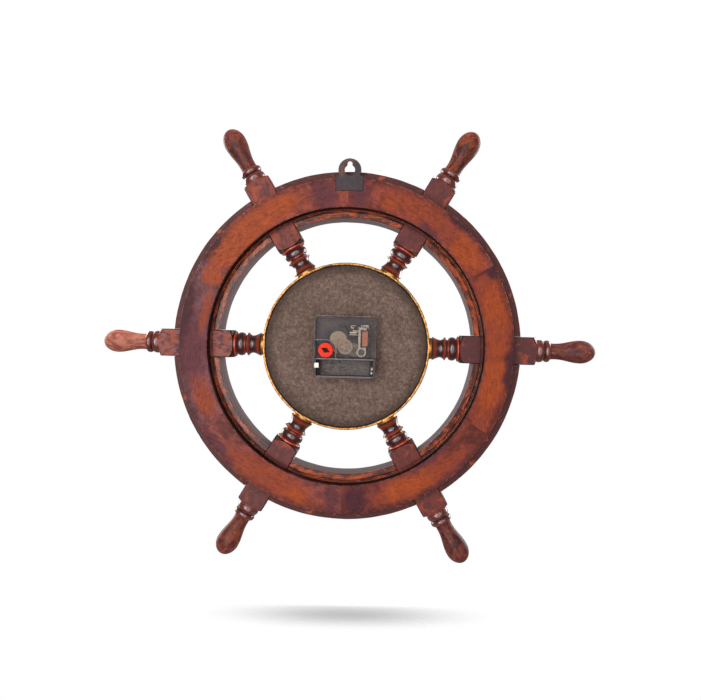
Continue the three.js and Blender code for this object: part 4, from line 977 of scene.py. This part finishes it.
def chipped(seed):
    """Edges a little uneven, as sanded by hand."""
    def shift(r, y, angle):
        at = Vector((r * cos(angle) * 0.03, seed * 3.1 + y * 0.05, r * sin(angle) * 0.03))
        push = 0.3 * noise.noise(at) + 0.12 * noise.noise(at * 4)
        return r + push, y
    return shift


FELLOE_GLOW = [0.06, 0.05, 0.08, 0.03, 0.07, 0.04]  # how much of each felloe's varnish is bright


def add_rim():
    back = rounded([(FACING_INNER, FELLOE_FACE), (FACING_OUTER, FELLOE_FACE),
                    (FACING_OUTER, RIM_BACK), (FACING_INNER, RIM_BACK)], 0.6, 4)
    front = [(r, -y) for r, y in reversed(back)]
    for side, outline in (("back", back), ("front", front)):
        for i in range(6):
            seed = i + (1 if side == "back" else 9)
            spots = SPOTS[i]
            if side == "front":
                spots = [(kind, -turn, r, along, across)
                         for kind, turn, r, along, across in SPOTS[(i + 4) % 6]]
            finish = rim_wood("%s rim wood %d" % (side, i + 1), seed, BASES[i], spots)
            node = "%s_facing_%d" % (side, i + 1)
            mesh = arc_piece(side + " facing", outline, 0.05, chipped(seed))
            if side == "back" and i in (1, 2):
                mesh = cut(mesh, hanger_slot(TAU * i / 6))
            made = add_mesh("smooth_" + node, mesh, finish, "wheel", TAU * i / 6, 50)
            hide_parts(node)
    felloe = rounded([
        (FELLOE_INNER, -FELLOE_FACE), (FELLOE_OUTER, -FELLOE_FACE), (FELLOE_OUTER, FELLOE_FACE),
        (GROOVE_OUT, FELLOE_FACE), (GROOVE_OUT - 0.2, GROOVE_FLOOR), (GROOVE_IN + 0.2, GROOVE_FLOOR),
        (GROOVE_IN, FELLOE_FACE), (FELLOE_INNER, FELLOE_FACE)], 0.8, 4)
    beside_spoke = SQUARE + 0.3
    for i in range(6):
        finish = felloe_wood("felloe wood %d" % (i + 1), i + 1, FELLOE_GLOW[i])
        node = "felloe_%d" % (i + 1)
        mesh = arc_piece("felloe", felloe, beside_spoke, chipped(i + 20))
        made = add_mesh("smooth_" + node, mesh, finish, "wheel", TAU * (i + 0.5) / 6, 50)
        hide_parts(node)


add_rim()


# Hub

def band_brass():
    """Thin brass, browned where it was rolled over and where varnish ran on to it."""
    f = Finish("brass", Metallic=0.9)
    stain = f.noise(0.3, 6, 0.68)
    f.colour = f.mix(f.step(stain, 0.4, 0.66), (0.92, 0.47, 0.155), (0.46, 0.17, 0.045))
    r = f.radius()
    lip = f.both(f.step(r, BAND + 0.4, BAND - 0.1), f.step(f.y, 8.2, 8.9))
    grime = f.noise(0.55, 5, 0.7, (4, 1, 6))
    f.lay(f.both(lip, f.step(grime, 0.38, 0.62, 0.1, 0.8)), (0.2, 0.08, 0.018))
    foot = f.both(f.step(r, BAND + 0.3, BAND + 0.8), f.step(grime, 0.42, 0.62))
    f.lay(f.both(foot, 0.55), (0.62, 0.2, 0.045))
    return f.done(f.step(stain, 0.35, 0.75, 0.28, 0.5), f.plus(stain, grime), 0.25, 0.1)


def add_hanger():
    """The keyhole plate: a round eye over a square tab, stamped from sheet."""
    x, z = HANGER_X, 158.2
    left, right = x - 12.2, x + 12.2
    bottom, top = 139.8, 153.4
    eye, hole, neck = 10.3, 4.6, 2.2
    low = degrees(asin((top - z) / eye))
    outside = rounded([(left, bottom), (right, bottom), (right, top)], 0.5, 2)
    outside += round_points(x, z, eye, low, 180 - low, 48) + [(left, top)]
    slot = degrees(acos(neck / hole))
    keyhole = round_points(x, z, hole, 180 - slot, 360 + slot, 40)
    keyhole += round_points(x, 163.7, neck, 0, 180, 16)
    mesh = plate("hanger", [outside, keyhole], HANGER_FRONT, RIM_BACK, 0.22)
    made = add_mesh("stamped_hanger", mesh, hanger_metal(), "wheel")
    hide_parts("hanger_plate")


HOURS, MINUTES = 12, 60
NUMERAL_HEIGHT = 11.5
NUMERAL_RADIUS = 45.5
NUMERAL_PLANE = -4.29
TRACK = (57.6, 57.2, 53.9, 53.5)  # the radii of its two circles
PRINT_FRONT, PRINT_BACK = -4.33, -4.26


def add_dial_print(black):
    """Plain numerals and a minute track, printed on the dial."""
    for hour in range(1, HOURS + 1):
        data = bpy.data.curves.new("numeral", "FONT")
        data.body = str(hour)
        data.size = NUMERAL_HEIGHT * MM
        data.align_x = "CENTER"
        data.align_y = "CENTER"
        data.extrude = 0.03 * MM
        angle = TAU * hour / HOURS
        mesh = flat_mesh(data, NUMERAL_PLANE)
        away = NUMERAL_RADIUS * MM
        mesh.transform(Matrix.Translation((away * sin(angle), 0, away * cos(angle))))
        made = add_mesh("numeral_%d" % hour, mesh, black, "wheel")
    marks = [round_points(0, 0, r, steps=120) for r in TRACK]
    for minute in range(MINUTES):
        angle = TAU * minute / MINUTES
        s, c = sin(angle), cos(angle)
        half = 0.55 if minute % 5 == 0 else 0.22
        marks.append([(s * r + c * side, c * r - s * side)
                      for r, side in ((54.0, -half), (54.0, half), (57.1, half), (57.1, -half))])
    made = add_mesh("minute_track", plate("track", marks, PRINT_FRONT, PRINT_BACK), black, "wheel")


def add_hub():
    brass = metal("bright brass", (0.8, 0.56, 0.24), (0.36, 0.2, 0.08), 0.26, 0.25, 0.6)
    old_brass = band_brass()

    def uneven(r, y, angle):
        at = Vector((cos(angle) * 5, sin(angle) * 5, 1.7))
        lift = noise.noise(at) + 0.5 * noise.noise(at * 3.3)
        if r < 76.1 and y > 8:
            return r + 0.55 * lift, y + 0.1 * lift
        return r, y

    band = rounded([(76.2, -16.7), (BAND, -16.7), (BAND, 8.9), (76.5, 9.6), (75.4, 9.6), (74.7, 8.85),
                    (76.2, 8.8)], 0.35, 3)
    made = add_mesh("rolled_band", lathe("band", band, 360, uneven), old_brass, "wheel")
    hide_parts("brass_band")
    ferrule = sleeve("ferrule", [(76.0, 5.4), (76.0, 9.9), (76.9, 10.15), (77.4, 9.95), (78.3, 9.8),
                                 (79.0, 9.6), (79.3, 9.1), (79.3, 5.4)], 96)
    for i in range(6):
        made = add_mesh("ferrule_%d" % (i + 1), ferrule.copy(), old_brass, "wheel", TAU * i / 6, 60)
        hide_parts("brass_band")
    bezel = rounded([(69.3, -17), (69.3, -19.2), (66, -19.3), (66, -20.6), (67.4, -21.4), (68.6, -23.4),
                     (70.5, -24), (75.8, -24), (77.9, -23.2), (78.5, -21.4), (78.5, -13), (77.4, -13),
                     (77.3, -17)], 0.5, 4)
    made = add_mesh("turned_bezel", lathe("bezel", bezel, 240), brass, "wheel")
    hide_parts("front_bezel")
    dress(fibre_board(), "back_board")
    dress(plastic("hub wood", (0.1, 0.03, 0.022), (0.05, 0.016, 0.014), 0.5, 0.2), "hub_core")
    dress(plastic("backing", (0.16, 0.09, 0.055), (0.11, 0.06, 0.04), 0.7, 0.3), "dial_backing")
    dress(dial_paper(), "dial")
    dress(clear_glass(), "glass")
    add_hanger()
    for node in ("threaded_bushing", "dial_washer", "dial_nut"):
        bevelled(node, 0.12, brass)


add_hub()


# Movement

def box_points(x, z, width, height, corner=0.3):
    a, b = width / 2, height / 2
    return rounded([(x - a, z - b), (x + a, z - b), (x + a, z + b), (x - a, z + b)], corner, 2)


def add_traces():
    """On the circuit board: tinned tracks and pads, holes as near-black discs of painted shade, and a
    drop of resin over the chip.
    """
    boxes = [
        (-13.6, 17.3, 15.2, 1.7), (-9.6, 14.4, 5.8, 2.5), (-12.0, 11.1, 17.0, 0.7, 0.2),
        (-18.4, 18.9, 4.8, 2.2), (-14.6, 19.3, 1.5, 1.3), (-7.6, 19.3, 3.0, 0.7),
        (-5.0, 18.2, 1.0, 2.8), (-19.8, 14.2, 1.3, 1.3), (-15.6, 12.9, 1.2, 1.9),
    ]
    tracks = plate("tracks", [box_points(*box) for box in boxes], CIRCUIT_BACK, CIRCUIT_BACK + 0.09)
    laid = metal("tinned track", (0.8, 0.62, 0.44), (0.55, 0.4, 0.27), 0.4, 0.7, 0.6, 0.3)
    made = add_mesh("circuit_tracks", tracks, laid, "wheel")
    places = ((-17.6, 18.2), (-13.7, 17.3), (-20.2, 17.0), (-8.0, 17.3))
    # painted shade: the board's holes are near-black discs laid on it
    holes = plate("holes", [round_points(x, z, 0.75, steps=20) for x, z in places],
                  CIRCUIT_BACK + 0.06, CIRCUIT_BACK + 0.12)
    dark = plastic("hole black", (0.012, 0.01, 0.01), (0.02, 0.016, 0.015), 0.6, 0.8)
    made = add_mesh("circuit_holes", holes, dark, "wheel")
    drop = []
    for k in range(28):
        angle = TAU * k / 28
        drop.append((-9.9 + 2.4 * cos(angle), 16.6 + 0.25 * sin(3 * angle) + 1.7 * sin(angle)))
    blob = plastic("resin", (0.012, 0.011, 0.012), (0.022, 0.02, 0.021), 0.25, 0.8)
    mesh = plate("drop", [drop], CIRCUIT_BACK + 0.05, CIRCUIT_BACK + 0.75, 0.3)
    made = add_mesh("resin_drop", mesh, blob, "wheel")


def add_case_ribs(smoky):
    """The moulded line just inside the cover's edge, and the curved ones round the knob's pocket: a pale
    rib of painted highlight beside a groove of painted shade. Also a pale ledge of painted highlight
    along the bay's edge.
    """
    lip = [rounded([(-half, low), (half, low), (half, half), (-half, half)], corner, 6)
           for half, low, corner in ((27.0, -10.0, 4.4), (26.3, -9.3, 3.8))]
    made = add_mesh("cover_lip", plate("lip", lip, COVER_BACK, COVER_BACK + 0.28, 0.08), smoky, "wheel")
    # painted highlight: the pocket's rib and the bay's ledge are painted pale
    rib = plastic("rib plastic", (0.26, 0.215, 0.19), (0.15, 0.122, 0.112), 0.5, 0.5)
    shade = plastic("rib shade", (0.018, 0.014, 0.015), (0.03, 0.024, 0.024), 0.6, 0.5)
    for name, finish, inner, outer in (("pocket_rib", rib, 9.1, 9.6), ("pocket_groove", shade, 8.5, 9.1)):
        near, far = ([(27.0, KNOB_Z + r)] + round_points(KNOB_X, KNOB_Z, r, 90, 180, 24)
                     + [(KNOB_X - r, -10.3)] for r in (outer, inner))
        mesh = plate(name, [near + far[::-1]], COVER_BACK, COVER_BACK + 0.2)
        made = add_mesh(name, mesh, finish, "wheel")
    # painted highlight: a pale ledge along the bay's top edge
    ledge = [rounded([(-26.4, -11.5), (26.4, -11.5), (26.4, -10.6), (-26.4, -10.6)], 0.2, 2)]
    mesh = plate("ledge", ledge, COVER_BACK - 0.1, COVER_BACK + 0.2, 0.08)
    made = add_mesh("bay_edge", mesh, rib, "wheel")


def add_wheel_marks(pale):
    """The moulded ring and windows of the seconds wheel, which shows through the cover."""
    dark = plastic("wheel shade", (0.39, 0.27, 0.19), (0.3, 0.205, 0.145), 0.5, 0.9)
    windows = [round_points(0, 0, 5.0, start, start + 54, 14)
               + round_points(0, 0, 2.6, start + 4, start + 50, 10)[::-1] for start in range(8, 360, 72)]
    mesh = plate("windows", windows, SECONDS_BACK, SECONDS_BACK + 0.08)
    made = add_mesh("seconds_windows", mesh, dark, "seconds")
    ring = [round_points(0, 0, 6.1, steps=64), round_points(0, 0, 5.55, steps=64)]
    mesh = plate("ring", ring, SECONDS_BACK, SECONDS_BACK + 0.24, 0.05)
    made = add_mesh("seconds_ring", mesh, pale, "seconds")


def contact_metal():
    """Nickel: two painted highlight spots on the spring and bright on the positive contact, painted dark
    brown elsewhere as painted shade.
    """
    f = Finish("contact metal", Metallic=0.4)
    stain = f.noise(0.7, 4, 0.6)
    # painted highlight: two bright spots on the spring's fold
    ends = f.either(f.within(f.z, -20.4, -18.4, 0.3), f.within(f.z, -24.0, -22.2, 0.3))
    glint_spots = f.both(ends, f.step(f.x, -23.6, -24.0))
    # painted shade: the spring's nickel is painted dull dark brown
    f.colour = f.mix(f.step(stain, 0.35, 0.65), (0.11, 0.085, 0.068), (0.2, 0.155, 0.125))
    f.lay(f.both(glint_spots, f.step(stain, 0.3, 0.5, 0.8, 1.0)), (0.95, 0.9, 0.8))
    f.lay(f.both(f.within(f.x, 20, 27.0, 0.2), 0.97), (0.92, 0.88, 0.82))
    return f.done(0.45, stain, 0.2, 0.05)


def add_movement():
    black = plastic("black plastic", (0.022, 0.019, 0.021), (0.034, 0.029, 0.031), 0.35, 0.5)
    smoky = smoky_plastic()
    pale = plastic("pale plastic", (0.64, 0.45, 0.31), (0.53, 0.37, 0.255), 0.5, 1.2)
    # painted shade: a darker copy of the pale plastic, used for the intermediate wheel
    dim = plastic("shaded pale plastic", (0.3, 0.215, 0.16), (0.22, 0.155, 0.115), 0.5, 1.2)
    steel = metal("soft iron", (0.66, 0.56, 0.45), (0.45, 0.35, 0.26), 0.4, 0.6, 0.5, 0.5)
    nickel = metal("nickel", (0.92, 0.88, 0.82), (0.66, 0.6, 0.54), 0.42, 0.6, 0.4, 0.6)
    bevelled("case_base", 0.25, case_plastic())
    bevelled("case_cover", 0.35, smoky, 3)
    lean = radians(24)
    s, c = sin(lean), cos(lean)
    corners = [(KNOB_X + u * c - v * s, KNOB_Z + u * s + v * c)
               for u, v in ((-4.5, 0), (0, -2.5), (4.5, 0), (0, 2.5))]
    diamond = plate("diamond", [corners], 22.0, 24.5)
    bevelled("setting_knob", 0.25, knob_plastic(), tool=diamond)
    spring = contact_metal()
    bevelled("contact_positive", 0.12, spring)
    bevelled("contact_negative", 0.12, spring)
    tongue = rounded([(23.4, -19.2), (27.9, -19.2), (27.9, -15.0), (23.4, -15.0)], 0.5, 3)
    made = add_mesh("contact_tongue", plate("tongue", [tongue], 22.6, 23.2, 0.1), nickel, "wheel")
    dress(pale, "seconds_wheel", "third_wheel", "centre_wheel", "minute_cannon", "motion_wheel",
          "hour_wheel")
    dress(dim, "intermediate_wheel")
    dress(black, "train_bridge", "coil_bobbin")
    dress(steel, "stator", "coil_core")
    dress(winding(), "coil_winding")
    dress(plastic("laminate", (0.02, 0.016, 0.013), (0.04, 0.032, 0.024), 0.5, 0.8), "circuit_board")
    dress(nickel, "quartz_crystal")
    dress(plastic("ferrite", (0.16, 0.125, 0.105), (0.26, 0.2, 0.165), 0.5, 0.8), "rotor")
    add_traces()
    add_case_ribs(smoky)
    add_wheel_marks(pale)
    hand = plastic("hand black", (0.012, 0.012, 0.012), (0.02, 0.02, 0.02), 0.3, 0.6)
    for node in ("hour_hand", "minute_hand", "second_hand"):
        bevelled(node, 0.1, hand)
    add_dial_print(hand)


add_movement()
